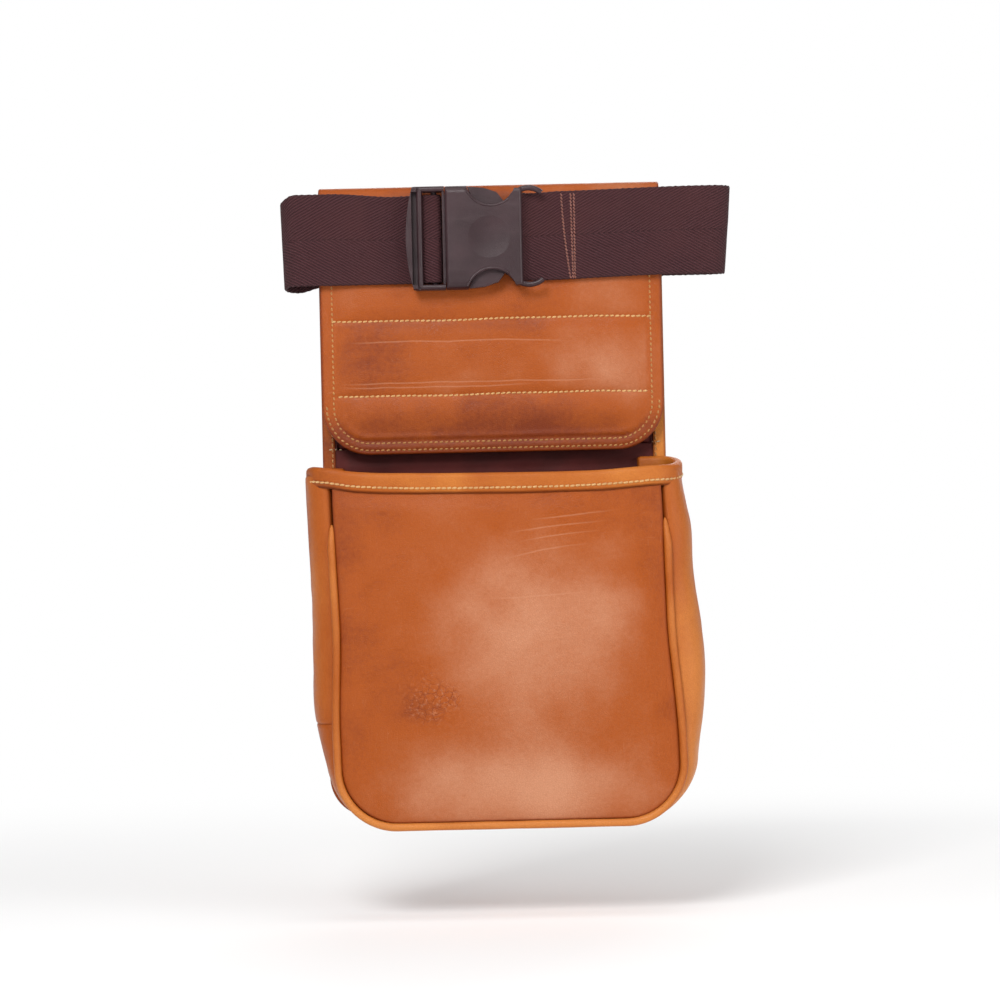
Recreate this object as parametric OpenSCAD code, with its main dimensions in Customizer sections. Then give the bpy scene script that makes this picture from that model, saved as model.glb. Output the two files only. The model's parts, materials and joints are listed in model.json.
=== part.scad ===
// Leather belt pouch on a 50 mm webbing belt with a side-release buckle.
// A padded flap hangs over a nylon pocket, above an open leather bag with a bulging gusset.
// Millimetres. X runs along the belt, Z is up and the front faces -Y.
// The origin is the centre of the belt tunnel's back face.

/* [Pouch] */
// Width of the back panel
back_w = 197.6; // [190:0.2:204]
// Height of the top fold above the belt's centre line
top_h = 31; // [30:0.5:36]
// Drop of the flat bottom below the belt's centre line
bottom_drop = 336.5; // [320:0.5:360]
// Widest point of the bulging gusset
belly_w = 222; // [216:1:228]
// Depth of the bag between back panel and front seam
bag_depth = 44.4; // [42:0.2:46]
// Drop of the bag's rim below the belt's centre line
rim_drop = 131; // [129:0.5:136]
// Height of the leather collar folded over the rim
collar_h = 11; // [8:0.5:14]

/* [Front panel] */
// Width of the front panel between the side seams
front_w = 185.4; // [180:0.2:187]
// Radius of its two bottom corners
front_corner_r = 23; // [18:1:28]
// Thickness of the piping round its seam
welt_w = 4.4; // [3.6:0.2:5]

/* [Flap] */
// Width of the flap
flap_w = 195.4; // [188:0.2:196]
// Drop of the flap's bending line below the belt's centre line
hinge_drop = 46; // [42:0.5:50]
// Drop of the second cross row
row_drop = 89; // [84:0.5:94]
// Drop of the flap's bottom edge
flap_drop = 122.5; // [118:0.5:126]
// Radius of the flap's bottom corners
flap_corner_r = 27; // [20:1:32]
// Thickness of the foam inside the flap
pad_t = 3; // [2:0.2:3.6]

/* [Materials] */
// Leather thickness
leather_t = 2; // [1.6:0.1:2.2]
// Nylon lining thickness
lining_t = 0.6; // [0.4:0.1:0.8]
// Thickness of the thin leather of the collar
collar_t = 1.2; // [0.8:0.1:1.4]

/* [Belt] */
// Webbing width
web_w = 50; // [48:0.5:50.5]
// Webbing thickness
web_t = 1.6; // [1.4:0.1:1.8]
// Outermost point of the left fold
fold_left = 119.7; // [114:0.1:130]
// Outermost point of the right fold
fold_right = 138.9; // [130:0.1:150]

/* [Buckle] */
// Height of the buckle across the belt
buckle_h = 59; // [58.6:0.2:61]
// Thickness of the buckle
buckle_t = 13; // [12.6:0.2:14]

/* [Hidden] */
$fn = 96;
eps = 0.01;

// Depth levels, front to back, each the front face of its layer.
slip = 1;
back_run_y = -leather_t - slip - web_t;
panel_y1 = back_run_y - slip;
panel_y = panel_y1 - leather_t;
lining_y = panel_y - lining_t;
strip_y = panel_y - leather_t;
pocket_gap = 5.6;
pocket_y = lining_y - pocket_gap - lining_t;
flap_y1 = pocket_y - lining_t;
flap_lining_y = flap_y1 - lining_t;
pad_y = flap_lining_y - pad_t;
flap_y = pad_y - leather_t;
tail_gap = 1.1;
tail_y = flap_y - tail_gap - web_t;
ply_gap = 0.2;
run_y = tail_y - ply_gap - web_t;
buckle_y1 = flap_y - 0.4;
buckle_y = buckle_y1 - buckle_t;

// Heights.
fold_r = (panel_y1 - flap_y) / 2;
fold_y = (panel_y1 + flap_y) / 2;
fold_z = top_h - fold_r;
hinge_z = -hinge_drop;
hinge_y = flap_y + leather_t / 2;
hinge_gap = 0.8;
yoke_z = hinge_z + leather_t / 2 + hinge_gap;
pad_z = hinge_z - 1.5;
row_h = 1;
row_z = -row_drop;
flap_z = -flap_drop;
rim_z = -rim_drop;
wall_z = rim_z - collar_t;
collar_z = rim_z - collar_h;
bottom_z = -bottom_drop;
panel_z = bottom_z + 5.7;
strip_z = rim_z + 2;
web_h = web_w / 2;

// Bag: a circular gusset bulge on each side, and a plane at the front seam.
back_h = back_w / 2;
seam_y = panel_y - bag_depth;
bulge_y = (panel_y + seam_y) / 2;
front_h = front_w / 2;
seam_h = front_h + 2.8;
bulge_rise = belly_w / 2 - seam_h;
half_depth = bag_depth / 2;
bulge_r = (half_depth * half_depth + bulge_rise * bulge_rise) / (2 * bulge_rise);
bulge_x = belly_w / 2 - bulge_r;
belly_corner_r = 40;
seam_allow = 6;
splice_z = -275;
front_y = seam_y - leather_t;
welt_r = welt_w / 2;
welt_x = front_h + welt_r;
welt_top_z = collar_z - 20;
lining_h = bulge_x - 0.2;

// Flap padding and edge strips.
edge_strip_w = 7.4;
flap_h = flap_w / 2;
flap_edge = 6.5;
pocket_h = back_h - 10.8;
pocket_z = hinge_z - 6;
pocket_bottom_z = -119;

// Belt tunnel behind the back panel.
tunnel_h = 80;
tunnel_in_z = web_h + 1;
tunnel_lap = 9;
sew_gap = 0.05;

// Webbing.
tail_end = 95;
split_x = 60;
split_gap = 0.3;
turn_y = (back_run_y + web_t + run_y) / 2;
turn_r = (back_run_y + web_t - run_y) / 2;
turn_left_x = turn_r - fold_left;
turn_right_x = fold_right - turn_r;
bar_r = 1.8;
loop_r = bar_r + 0.4 + web_t;
loop_y = tail_y + web_t - loop_r;
sewn_end = 52;

// Buckle.
half_b = buckle_h / 2;
socket_x = -25;
socket_end = 19;
hook_x = 22.5;
hook_z = 16.3;
hook_arc_r = 11.2;
hook_start = 205;
hook_turn = 107;
hook_r = 1.6;
cut_x = 1.4;
cut_r = 14.4;
cut_deep = 11;
cut_z = half_b - cut_deep + cut_r;
lip_r = 0.8;
lip_start = 50;
lip_turn = 110;
wall_b = 2.5;
cavity_h = 25;
cavity_y = buckle_y + wall_b;
cavity_t = buckle_t - 2 * wall_b;
dish_r = 120;
dish_deep = 0.6;
socket_bar_x = 16.5;
frame_bar_x = -31.4;
left_loop_x = frame_bar_x - loop_r;
right_loop_x = socket_bar_x + loop_r;
fit = 0.4;
adjuster_x = -47.6;
adjuster_w = 9.6;
rail_t = 3;
pivot_x = -22.6;
pivot_z = 13;
root_r = 2.2;
prong_y = cavity_y + 1.2;
prong_t = cavity_t - 2.4;
guide_h = 3.5;
guide_end = 5;
// Corners of the locking arm, from its root along the outside to the tip and back.
prong_outline = [[pivot_x - 1, pivot_z - 1.4], [pivot_x - 1, pivot_z + 1.4], [-18.6, 16.4],
    [-13.6, 17.5], [-12.3, half_b - 0.5], [-3, half_b - 1.3], [4.6, half_b - 3.9],
    [8.2, 21], [7.6, 17.5], [3, 15.6], [-15, 13.4]];

leather = [0.72, 0.38, 0.14];
leather_dark = [0.62, 0.30, 0.11];
nylon = [0.20, 0.11, 0.11];
foam = [0.75, 0.73, 0.68];
webbing = [0.23, 0.13, 0.14];
plastic = [0.30, 0.26, 0.27];

// ---- Helpers ----

// Rectangle from corner a to corner b.
module slab(a, b) {
    translate(a) square(b - a);
}

// Extrudes a front-view outline (x, z) between the depths y0 and y1.
module front(y0, y1) {
    translate([0, y1, 0]) rotate([90, 0, 0]) linear_extrude(y1 - y0) children();
}

// Extrudes a plan outline (x, y) between the heights z0 and z1.
module plan(z0, z1) {
    translate([0, 0, z0]) linear_extrude(z1 - z0) children();
}

// Extrudes a side-view outline (y, z) between x0 and x1.
module side(x0, x1) {
    translate([x0, 0, 0]) rotate([90, 0, 90]) linear_extrude(x1 - x0) children();
}

// Rectangle from a to b with four round corners.
module round_slab(a, b, r) {
    slab(a + [r, 0], b - [r, 0]);
    slab(a + [0, r], b - [0, r]);
    for (x = [a[0] + r, b[0] - r], y = [a[1] + r, b[1] - r]) translate([x, y]) circle(r);
}

// Panel of half width h from height z1 down to z0, with round bottom corners.
module panel(h, z0, z1, r) {
    slab([-h, z0 + r], [h, z1]);
    slab([r - h, z0], [h - r, z0 + r]);
    for (s = [-1, 1]) translate([s * (h - r), z0 + r]) circle(r);
}

// Plan outline of the bag, grown outwards by e.
module bag_plan(e, y0) {
    slab([-bulge_x, y0 - e], [bulge_x, panel_y]);
    intersection() {
        for (s = [-1, 1]) translate([s * bulge_x, bulge_y]) circle(bulge_r + e);
        slab([-belly_w, y0 - e], [belly_w, panel_y]);
    }
}

// Closed bag inset by d inside the gusset's outer face, cut flat at the bottom.
module bag(d) {
    intersection() {
        plan(bottom_z - 1, wall_z + d * eps) bag_plan(-d, seam_y - d);
        front(seam_y - 1, panel_y + 1)
            panel(belly_w / 2 - d, bottom_z + d, 0, belly_corner_r - d);
    }
}

// ---- Pouch: back, lining and belt tunnel ----

module back_panel() {
    color(leather) front(panel_y, panel_y1) panel(back_h, panel_z, fold_z, front_corner_r);
}

module back_lining() {
    color(nylon) front(lining_y, panel_y) {
        slab([edge_strip_w - back_h, strip_z], [back_h - edge_strip_w, fold_z - 2]);
        panel(lining_h, panel_z + 3, strip_z + eps, front_corner_r);
    }
}

module edge_strip(s) {
    color(leather) front(strip_y, panel_y) mirror([s < 0 ? 1 : 0, 0])
        slab([back_h - edge_strip_w, strip_z], [back_h, fold_z - 2]);
}

module edge_strip_left() { edge_strip(-1); }
module edge_strip_right() { edge_strip(1); }

module belt_tunnel() {
    top_z = tunnel_in_z + leather_t;
    color(leather) side(-tunnel_h, tunnel_h) difference() {
        union() {
            slab([-leather_t, -top_z], [0, top_z]);
            slab([panel_y1, -top_z], [0, -tunnel_in_z]);
            slab([panel_y1, -top_z - tunnel_lap], [panel_y1 + leather_t, -tunnel_in_z]);
            slab([fold_y, tunnel_in_z], [0, top_z]);
        }
        translate([fold_y, fold_z]) circle(fold_r + sew_gap);
    }
}

// ---- Flap: fixed yoke under the belt, moving part below the upper cross row ----

module flap_yoke() {
    color(leather) {
        front(flap_y, pad_y) slab([-flap_h, yoke_z], [flap_h, fold_z]);
        side(-flap_h, flap_h) intersection() {
            translate([fold_y, fold_z]) difference() {
                circle(fold_r);
                circle(fold_r - leather_t);
            }
            slab([flap_y, fold_z], [0, top_h]);
        }
    }
}

module yoke_pad() {
    color(foam) front(pad_y, flap_lining_y)
        slab([flap_edge - flap_h, yoke_z], [flap_h - flap_edge, fold_z - 3]);
}

module yoke_lining() {
    color(nylon) front(flap_lining_y, flap_y1)
        slab([1 - flap_h, yoke_z], [flap_h - 1, fold_z - 2]);
}

module flap_leather() {
    color(leather) {
        front(flap_y, pad_y) panel(flap_h, flap_z, hinge_z, flap_corner_r);
        side(-flap_h, flap_h) translate([hinge_y, hinge_z]) circle(leather_t / 2);
    }
}

module flap_pad_upper() {
    color(foam) front(pad_y, flap_lining_y)
        slab([flap_edge - flap_h, row_z + row_h], [flap_h - flap_edge, pad_z]);
}

module flap_pad_lower() {
    color(foam) front(pad_y, flap_lining_y) intersection() {
        panel(flap_h - flap_edge, flap_z + flap_edge, 0, flap_corner_r - flap_edge);
        slab([-flap_h, flap_z], [flap_h, row_z - row_h]);
    }
}

module flap_lining() {
    color(nylon) front(flap_lining_y, flap_y1)
        panel(flap_h - 1, flap_z + 1, pad_z, flap_corner_r - 1);
}

// ---- Nylon pocket behind the flap ----

module upper_pocket() {
    color(nylon) difference() {
        front(pocket_y, lining_y) slab([-pocket_h, pocket_bottom_z], [pocket_h, pocket_z]);
        front(pocket_y + lining_t, lining_y + 1)
            slab([lining_t - pocket_h, pocket_bottom_z + lining_t], [pocket_h - lining_t, 0]);
    }
}

// ---- Bag below the flap ----

// Gusset band round the sides and the bottom, with a seam allowance under the front seam.
module gusset() {
    difference() {
        intersection() {
            bag(0);
            front(seam_y, panel_y) slab([-belly_w, -2 * bottom_drop], [belly_w, wall_z]);
        }
        intersection() {
            bag(leather_t);
            front(seam_y + leather_t, panel_y + 1) slab([-belly_w, -bottom_drop], [belly_w, 0]);
        }
        front(seam_y - 1, seam_y + leather_t + eps)
            panel(front_h - seam_allow, panel_z + seam_allow, 0, front_corner_r - seam_allow);
        plan(collar_z, 0) bag_plan(-leather_t, front_y);
    }
}

module gusset_left() {
    color(leather_dark) intersection() {
        gusset();
        front(2 * seam_y, 0) slab([-belly_w, splice_z], [0, 0]);
    }
}

module gusset_main() {
    color(leather_dark) difference() {
        gusset();
        front(2 * seam_y, 0) slab([-belly_w, splice_z], [0, 0]);
    }
}

module front_panel() {
    color(leather) front(front_y, seam_y) panel(front_h, panel_z, wall_z, front_corner_r);
}

module front_lining() {
    color(nylon) front(seam_y, seam_y + lining_t) panel(front_h - seam_allow - 0.2,
        panel_z + seam_allow + 0.2, collar_z - 0.2, front_corner_r - seam_allow);
}

// Half-round piping standing on the front seam.
module welt() {
    corner_x = front_h - front_corner_r;
    corner_z = panel_z + front_corner_r;
    color(leather_dark) difference() {
        union() {
            for (s = [-1, 1]) {
                translate([s * welt_x, seam_y, corner_z]) cylinder(welt_top_z - corner_z, r = welt_r);
                translate([s * corner_x, seam_y, corner_z]) rotate([90, 0, 0])
                    rotate([0, 0, s > 0 ? -90 : -180]) rotate_extrude(angle = 90)
                        translate([welt_x - corner_x, 0]) circle(welt_r);
            }
            translate([-corner_x, seam_y, panel_z - welt_r]) rotate([0, 90, 0])
                cylinder(2 * corner_x, r = welt_r);
        }
        front(seam_y, seam_y + welt_w) slab([-belly_w, 2 * bottom_z], [belly_w, 0]);
    }
}

// Plan outline of the rim, grown outwards by e, with the ends of the front panel standing out.
module rim_plan(e) {
    bag_plan(e, front_y);
    slab([-front_h - e, front_y - e], [front_h + e, seam_y]);
}

// Collar folded over the rim, from the back panel round the front and back again.
module mouth_binding() {
    color(leather) difference() {
        plan(collar_z, rim_z) difference() {
            rim_plan(collar_t);
            bag_plan(-leather_t - collar_t, front_y);
        }
        plan(collar_z - 1, wall_z) difference() {
            rim_plan(0);
            bag_plan(-leather_t, front_y);
        }
    }
}

// ---- Webbing belt ----

// Webbing strip from x0 to x1, its front face at depth y.
module strip(x0, x1, y) {
    color(webbing) plan(-web_h, web_h) slab([x0, y], [x1, y + web_t]);
}

// Half turn of the belt outside x, towards the side s.
module belt_turn(x, s) {
    color(webbing) plan(-web_h, web_h) intersection() {
        translate([x, turn_y]) difference() {
            circle(turn_r);
            circle(turn_r - web_t);
        }
        translate([s > 0 ? x : x - 2 * turn_r, 2 * run_y]) square([2 * turn_r, -4 * run_y]);
    }
}

// Loop round the buckle bar at bar_x, open towards the side s where both plies leave it.
module belt_loop(bar_x, s) {
    end_x = bar_x + s * loop_r;
    color(webbing) plan(-web_h, web_h) difference() {
        union() {
            translate([bar_x, loop_y]) circle(loop_r);
            for (y = [run_y, tail_y]) slab([min(bar_x, end_x), y], [max(bar_x, end_x), y + web_t]);
        }
        translate([bar_x, loop_y]) circle(loop_r - web_t);
    }
}

module strap_left_front() { strip(turn_left_x, left_loop_x, run_y); }
module strap_left_loop() { belt_loop(frame_bar_x, -1); }
module strap_left_tail() { strip(-tail_end, left_loop_x, tail_y); }
module strap_left_fold() { belt_turn(turn_left_x, -1); }
module strap_left_back() { strip(turn_left_x, split_x, back_run_y); }
module strap_right_front() { strip(right_loop_x, turn_right_x, run_y); }
module strap_right_loop() { belt_loop(socket_bar_x, 1); }
module strap_right_end() { strip(right_loop_x, sewn_end, tail_y); }
module strap_right_fold() { belt_turn(turn_right_x, 1); }
module strap_right_back() { strip(split_x + split_gap, turn_right_x, back_run_y); }

// ---- Side-release buckle ----

// Outline of the socket from the front, without its hooks.
module socket_outline() {
    difference() {
        union() {
            round_slab([socket_x, -half_b], [cut_x, half_b], 1.5);
            slab([socket_x + 2, -half_b + 2], [socket_end, half_b - 2]);
        }
        for (s = [-1, 1]) translate([cut_x, s * cut_z]) circle(cut_r);
    }
}

// Rod of radius r on an arc in the front view, from a start angle through a turn.
module rod_arc(centre, arc_r, start, turn, r) {
    translate(centre) rotate([90, 0, 0]) rotate([0, 0, start])
        rotate_extrude(angle = turn) translate([arc_r, 0]) circle(r);
}

// Raised lip of the lower cut-out, and the hook that guides the belt's edge.
module lip_and_hook() {
    hook_y = cavity_y + 0.3;
    rod_arc([cut_x, buckle_y + lip_r / 2, -cut_z], cut_r + lip_r, lip_start, lip_turn, lip_r);
    rod_arc([hook_x, hook_y, -hook_z], hook_arc_r, hook_start, hook_turn, hook_r);
}

module buckle_socket() {
    slot_x = socket_bar_x - loop_r - 0.9;
    slot_y = loop_y - loop_r - 0.5;
    slot_h = web_h + 0.8;
    color(plastic) {
        difference() {
            intersection() {
                front(buckle_y, buckle_y1) socket_outline();
                side(socket_x - 1, socket_end + 1)
                    round_slab([buckle_y, -half_b], [buckle_y1, half_b], 4);
                plan(-half_b, half_b) round_slab([socket_x, buckle_y], [socket_end, buckle_y1], 2);
            }
            front(cavity_y, cavity_y + cavity_t)
                slab([socket_x - 1, -cavity_h], [slot_x - 1.8, cavity_h]);
            front(slot_y, 0) slab([slot_x, -slot_h], [socket_end + 1, slot_h]);
            translate([0, buckle_y + dish_deep - dish_r, 0]) sphere(dish_r);
        }
        for (s = [0, 1]) mirror([0, 0, s]) lip_and_hook();
        translate([socket_bar_x, loop_y, -slot_h - 0.6]) cylinder(2 * slot_h + 1.2, r = bar_r);
    }
}

// Crescent bar, groove, rounded rods, strap bar, base and guide tongue of the plug half.
module buckle_frame() {
    arc_r = 108;
    ridge_x = adjuster_x + adjuster_w;
    front_off = 1;
    groove_x = adjuster_x + 3.5;
    groove_y1 = buckle_y + 6;
    rod_r = 1.6;
    rod_x = ridge_x - rod_r;
    rod_y = buckle_y + 2.8;
    rod_z = half_b - rod_r;
    rail_y = buckle_y + 2.5;
    rail_y1 = buckle_y1 - 1.5;
    base_x = socket_x - fit;
    base_t = 1.2;
    color(plastic) {
        intersection() {
            union() {
                difference() {
                    front(buckle_y + front_off, run_y - 1) intersection() {
                        translate([adjuster_x + arc_r, 0]) circle(arc_r, $fn = 360);
                        round_slab([adjuster_x - 1, 0.2 - half_b], [ridge_x, half_b - 0.2], 1);
                    }
                    front(buckle_y, groove_y1)
                        slab([groove_x, rail_t - half_b], [rod_x - rod_r + 0.3, half_b - rail_t]);
                    front(buckle_y, rod_y)
                        slab([rod_x - rod_r + 0.2, -half_b - 1], [ridge_x + 1, half_b + 1]);
                }
                for (s = [-1, 1]) front(rail_y, rail_y1) mirror([0, s < 0 ? 1 : 0])
                    slab([adjuster_x + 5, half_b - rail_t], [base_x, half_b]);
                front(rail_y, rail_y1) slab([base_x - base_t, -half_b + 1], [base_x, half_b - 1]);
            }
            side(adjuster_x - 2, socket_x)
                round_slab([buckle_y, -half_b], [buckle_y1, half_b], 3);
        }
        translate([rod_x, rod_y, -rod_z]) cylinder(2 * rod_z, r = rod_r);
        for (s = [-1, 1]) translate([rod_x, rod_y, s * rod_z]) rotate([0, 90, 0])
            cylinder(base_x - rod_x, r = rod_r - 0.15);
        translate([frame_bar_x, loop_y, rail_t / 2 - half_b])
            cylinder(buckle_h - rail_t, r = bar_r);
        difference() {
            front(cavity_y + fit, cavity_y + cavity_t - fit)
                slab([base_x - 0.1, fit - cavity_h], [pivot_x + 0.6, cavity_h - fit]);
            for (s = [-1, 1]) translate([pivot_x, 0, s * pivot_z]) rotate([90, 0, 0])
                cylinder(-4 * buckle_y, r = root_r + 0.3, center = true);
        }
        front(prong_y, prong_y + prong_t)
            round_slab([pivot_x - 1, -guide_h], [guide_end, guide_h], 2);
    }
}

// Upper locking arm with its outward lug, hinged at its round root.
module prong() {
    color(plastic) {
        translate([pivot_x, prong_y, pivot_z]) rotate([-90, 0, 0]) cylinder(prong_t, r = root_r);
        front(prong_y, prong_y + prong_t) difference() {
            polygon(prong_outline);
            difference() {
                slab([socket_x, cavity_h - fit], [socket_end, half_b]);
                translate([cut_x, cut_z]) circle(cut_r - fit);
            }
        }
    }
}

module prong_upper() { prong(); }
module prong_lower() { mirror([0, 0, 1]) prong(); }

back_panel();
back_lining();
edge_strip_left();
edge_strip_right();
belt_tunnel();
flap_yoke();
yoke_pad();
yoke_lining();
flap_leather();
flap_pad_upper();
flap_pad_lower();
flap_lining();
upper_pocket();
gusset_left();
gusset_main();
front_panel();
front_lining();
welt();
mouth_binding();
strap_left_front();
strap_left_loop();
strap_left_tail();
strap_left_fold();
strap_left_back();
strap_right_front();
strap_right_loop();
strap_right_end();
strap_right_fold();
strap_right_back();
buckle_socket();
buckle_frame();
prong_upper();
prong_lower();
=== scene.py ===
import json
import math

import bpy
import numpy as np
from mathutils import Matrix, Vector


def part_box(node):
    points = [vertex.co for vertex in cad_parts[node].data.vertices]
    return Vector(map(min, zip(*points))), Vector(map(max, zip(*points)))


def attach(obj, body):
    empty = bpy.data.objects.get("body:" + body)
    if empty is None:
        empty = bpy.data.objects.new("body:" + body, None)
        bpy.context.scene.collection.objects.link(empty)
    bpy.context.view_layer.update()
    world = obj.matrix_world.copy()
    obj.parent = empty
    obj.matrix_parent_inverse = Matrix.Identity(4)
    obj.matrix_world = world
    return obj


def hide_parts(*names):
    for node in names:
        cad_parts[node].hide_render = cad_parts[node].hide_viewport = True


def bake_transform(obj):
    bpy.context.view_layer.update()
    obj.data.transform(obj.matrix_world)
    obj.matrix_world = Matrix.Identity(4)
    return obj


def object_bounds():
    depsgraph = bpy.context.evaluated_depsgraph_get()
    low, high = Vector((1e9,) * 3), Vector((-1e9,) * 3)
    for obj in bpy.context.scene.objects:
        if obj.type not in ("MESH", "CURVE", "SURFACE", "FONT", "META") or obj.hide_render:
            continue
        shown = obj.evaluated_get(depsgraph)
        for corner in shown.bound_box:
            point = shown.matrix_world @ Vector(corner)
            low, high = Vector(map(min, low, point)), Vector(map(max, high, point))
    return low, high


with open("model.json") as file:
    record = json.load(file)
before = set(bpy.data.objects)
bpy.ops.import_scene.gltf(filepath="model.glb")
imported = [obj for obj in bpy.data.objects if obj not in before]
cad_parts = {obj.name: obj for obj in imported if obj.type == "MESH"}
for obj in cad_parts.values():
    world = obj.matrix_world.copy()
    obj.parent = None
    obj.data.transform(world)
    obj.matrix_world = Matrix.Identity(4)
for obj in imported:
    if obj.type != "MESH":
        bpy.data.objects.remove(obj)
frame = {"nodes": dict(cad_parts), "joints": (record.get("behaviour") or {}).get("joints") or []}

cad_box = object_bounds()
scene = bpy.context.scene
MM = 0.001

# ---------------------------------------------------------------- camera

CAM_X, CAM_DIST, CAM_Z, ROLL = 0.0027, 2.0, -0.150, math.radians(-1.3)
SENSOR_W, LENS_RATIO = 36.0, 3.456
cam = bpy.data.objects.new("camera", bpy.data.cameras.new("camera"))
scene.collection.objects.link(cam)
cam.data.sensor_width = SENSOR_W
cam.data.lens = SENSOR_W * LENS_RATIO
cam.data.clip_start, cam.data.clip_end = 0.05, 50.0
cam.matrix_world = (Matrix.Translation((CAM_X, -CAM_DIST, CAM_Z))
                    @ Matrix.Rotation(math.radians(90), 4, "X")
                    @ Matrix.Rotation(ROLL, 4, "Z"))
scene.camera = cam
scene.view_settings.view_transform = "Standard"
scene.view_settings.look = "None"

# ---------------------------------------------------------------- numbers from the frame, in mm


def node_box(name):
    a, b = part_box(name)
    return np.array(a) / MM, np.array(b) / MM


BACK_LO, BACK_HI = node_box("back_panel")
YOKE_LO, YOKE_HI = node_box("flap_yoke")
FLAP_LO, FLAP_HI = node_box("flap_leather")
FRONT_LO, FRONT_HI = node_box("front_panel")
RUN_L_LO, RUN_L_HI = node_box("strap_left_front")
FOLD_L_HI = node_box("strap_left_fold")[1]
BACK_L_LO, BACK_L_HI = node_box("strap_left_back")
TAIL_LO, TAIL_HI = node_box("strap_left_tail")
LOOP_L_LO, LOOP_L_HI = node_box("strap_left_loop")
FOLD_R_LO = node_box("strap_right_fold")[0]
BACK_R_LO = node_box("strap_right_back")[0]
END_HI = node_box("strap_right_end")[1]
LOOP_R_LO = node_box("strap_right_loop")[0]
TUNNEL_LO, TUNNEL_HI = node_box("belt_tunnel")
hinge = next(j for j in frame["joints"] if j["name"] == "flap_lift")
HINGE_Y, HINGE_Z = hinge["pos_m"][1] / MM, hinge["pos_m"][2] / MM

# ---------------------------------------------------------------- small maths


def smooth(a, b, x):
    t = np.clip((np.asarray(x, float) - a) / (b - a), 0, 1)
    return t * t * (3 - 2 * t)


def lattice(ix, iy, seed):
    n = (ix.astype(np.int64) * 374761393 + iy.astype(np.int64) * 668265263
         + seed * 1442695041) & 0xFFFFFFFF
    n = ((n ^ (n >> 13)) * 1274126177) & 0xFFFFFFFF
    n = (n ^ (n >> 16)) & 0xFFFFFFFF
    return n / 2147483647.5 - 1.0


def noise(x, y, size, seed=0):
    """Smooth value noise from -1 to 1 with cells of the given size."""
    x, y = np.broadcast_arrays(np.asarray(x, float) / size, np.asarray(y, float) / size)
    ix, iy = np.floor(x), np.floor(y)
    fx, fy = x - ix, y - iy
    fx, fy = fx * fx * (3 - 2 * fx), fy * fy * (3 - 2 * fy)
    a, b = lattice(ix, iy, seed), lattice(ix + 1, iy, seed)
    c, d = lattice(ix, iy + 1, seed), lattice(ix + 1, iy + 1, seed)
    return (a * (1 - fx) + b * fx) * (1 - fy) + (c * (1 - fx) + d * fx) * fy


def edge_steps(length, step, r):
    """Places from 0 to length, closer together in the rounded edges."""
    e = np.array([0, .08, .3, .65]) * r
    mid = np.linspace(r, length - r, max(2, int(round((length - 2 * r) / step))) + 1)
    return np.concatenate([e, mid, length - e[::-1]])


def hump(d, w):
    """A bell curve, 1 where d is 0, of half width w."""
    return np.exp(-(d / w) ** 2)


def spot(dx, dz, rx, rz):
    """A bell over a surface, 1 where dx and dz are 0, of half widths rx and rz."""
    return np.exp(-(dx / rx) ** 2 - (dz / rz) ** 2)


def rounding(d, r):
    """Share of full thickness at distance d from an edge of radius r."""
    k = 1 - np.clip(d, 0, r) / r
    return np.sqrt(np.clip(1 - k * k, 0, 1))


# ---------------------------------------------------------------- mesh builders


def make_object(name, verts, faces, material, attributes=None):
    mesh = bpy.data.meshes.new(name)
    mesh.from_pydata((np.asarray(verts) * MM).tolist(), [], faces)
    for key, values in (attributes or {}).items():
        a = mesh.attributes.new(key, "FLOAT", "POINT")
        a.data.foreach_set("value", np.asarray(values, np.float32))
    mesh.polygons.foreach_set("use_smooth", [True] * len(mesh.polygons))
    mesh.materials.append(material)
    mesh.validate()
    mesh.update()
    obj = bpy.data.objects.new(name, mesh)
    scene.collection.objects.link(obj)
    return obj


def shell(name, P, T, material, extra):
    """Closed sheet of thickness T round the mid surface P, a grid of points (nu, nv, 3)."""
    P = np.asarray(P, float)
    nu, nv = P.shape[:2]
    T = np.broadcast_to(T, (nu, nv)).astype(float)
    N = np.cross(np.gradient(P, axis=0), np.gradient(P, axis=1))
    N /= np.maximum(np.linalg.norm(N, axis=2, keepdims=True), 1e-9)
    front = P + N * T[..., None] / 2
    back = P - N * T[..., None] / 2
    index = np.arange(nu * nv).reshape(nu, nv)
    thin = T < 1e-6
    back_index = np.full((nu, nv), -1)
    back_index[~thin] = nu * nv + np.arange((~thin).sum())
    back_index[thin] = index[thin]
    verts = np.concatenate([front.reshape(-1, 3), back[~thin]])
    faces = []
    for i in range(nu - 1):
        for j in range(nv - 1):
            q = (index[i, j], index[i + 1, j], index[i + 1, j + 1], index[i, j + 1])
            faces.append([int(x) for x in q])
            b = (back_index[i, j], back_index[i, j + 1], back_index[i + 1, j + 1], back_index[i + 1, j])
            if len(set(b)) > 2 and set(b) != set(q):
                faces.append([int(x) for x in b])
    both = {}
    for key, values in extra.items():
        values = np.broadcast_to(values, (nu, nv))
        both[key] = np.concatenate([values.reshape(-1), values[~thin]])
    return make_object(name, verts, faces, material, both)


def strand(points):
    """The length along a polyline at each of its points."""
    seg = np.linalg.norm(np.diff(points, axis=0), axis=1)
    return np.concatenate([[0], np.cumsum(seg)])


def along(points, normals, s):
    """Places, directions and normals at lengths s along a polyline."""
    at = strand(points)
    p = np.stack([np.interp(s, at, points[:, k]) for k in range(3)], 1)
    ahead = np.stack([np.interp(s + .4, at, points[:, k]) for k in range(3)], 1)
    behind = np.stack([np.interp(s - .4, at, points[:, k]) for k in range(3)], 1)
    n = np.stack([np.interp(s, at, normals[:, k]) for k in range(3)], 1)
    d = ahead - behind
    return (p, d / np.maximum(np.linalg.norm(d, axis=1, keepdims=True), 1e-9),
            n / np.maximum(np.linalg.norm(n, axis=1, keepdims=True), 1e-9))


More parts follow.
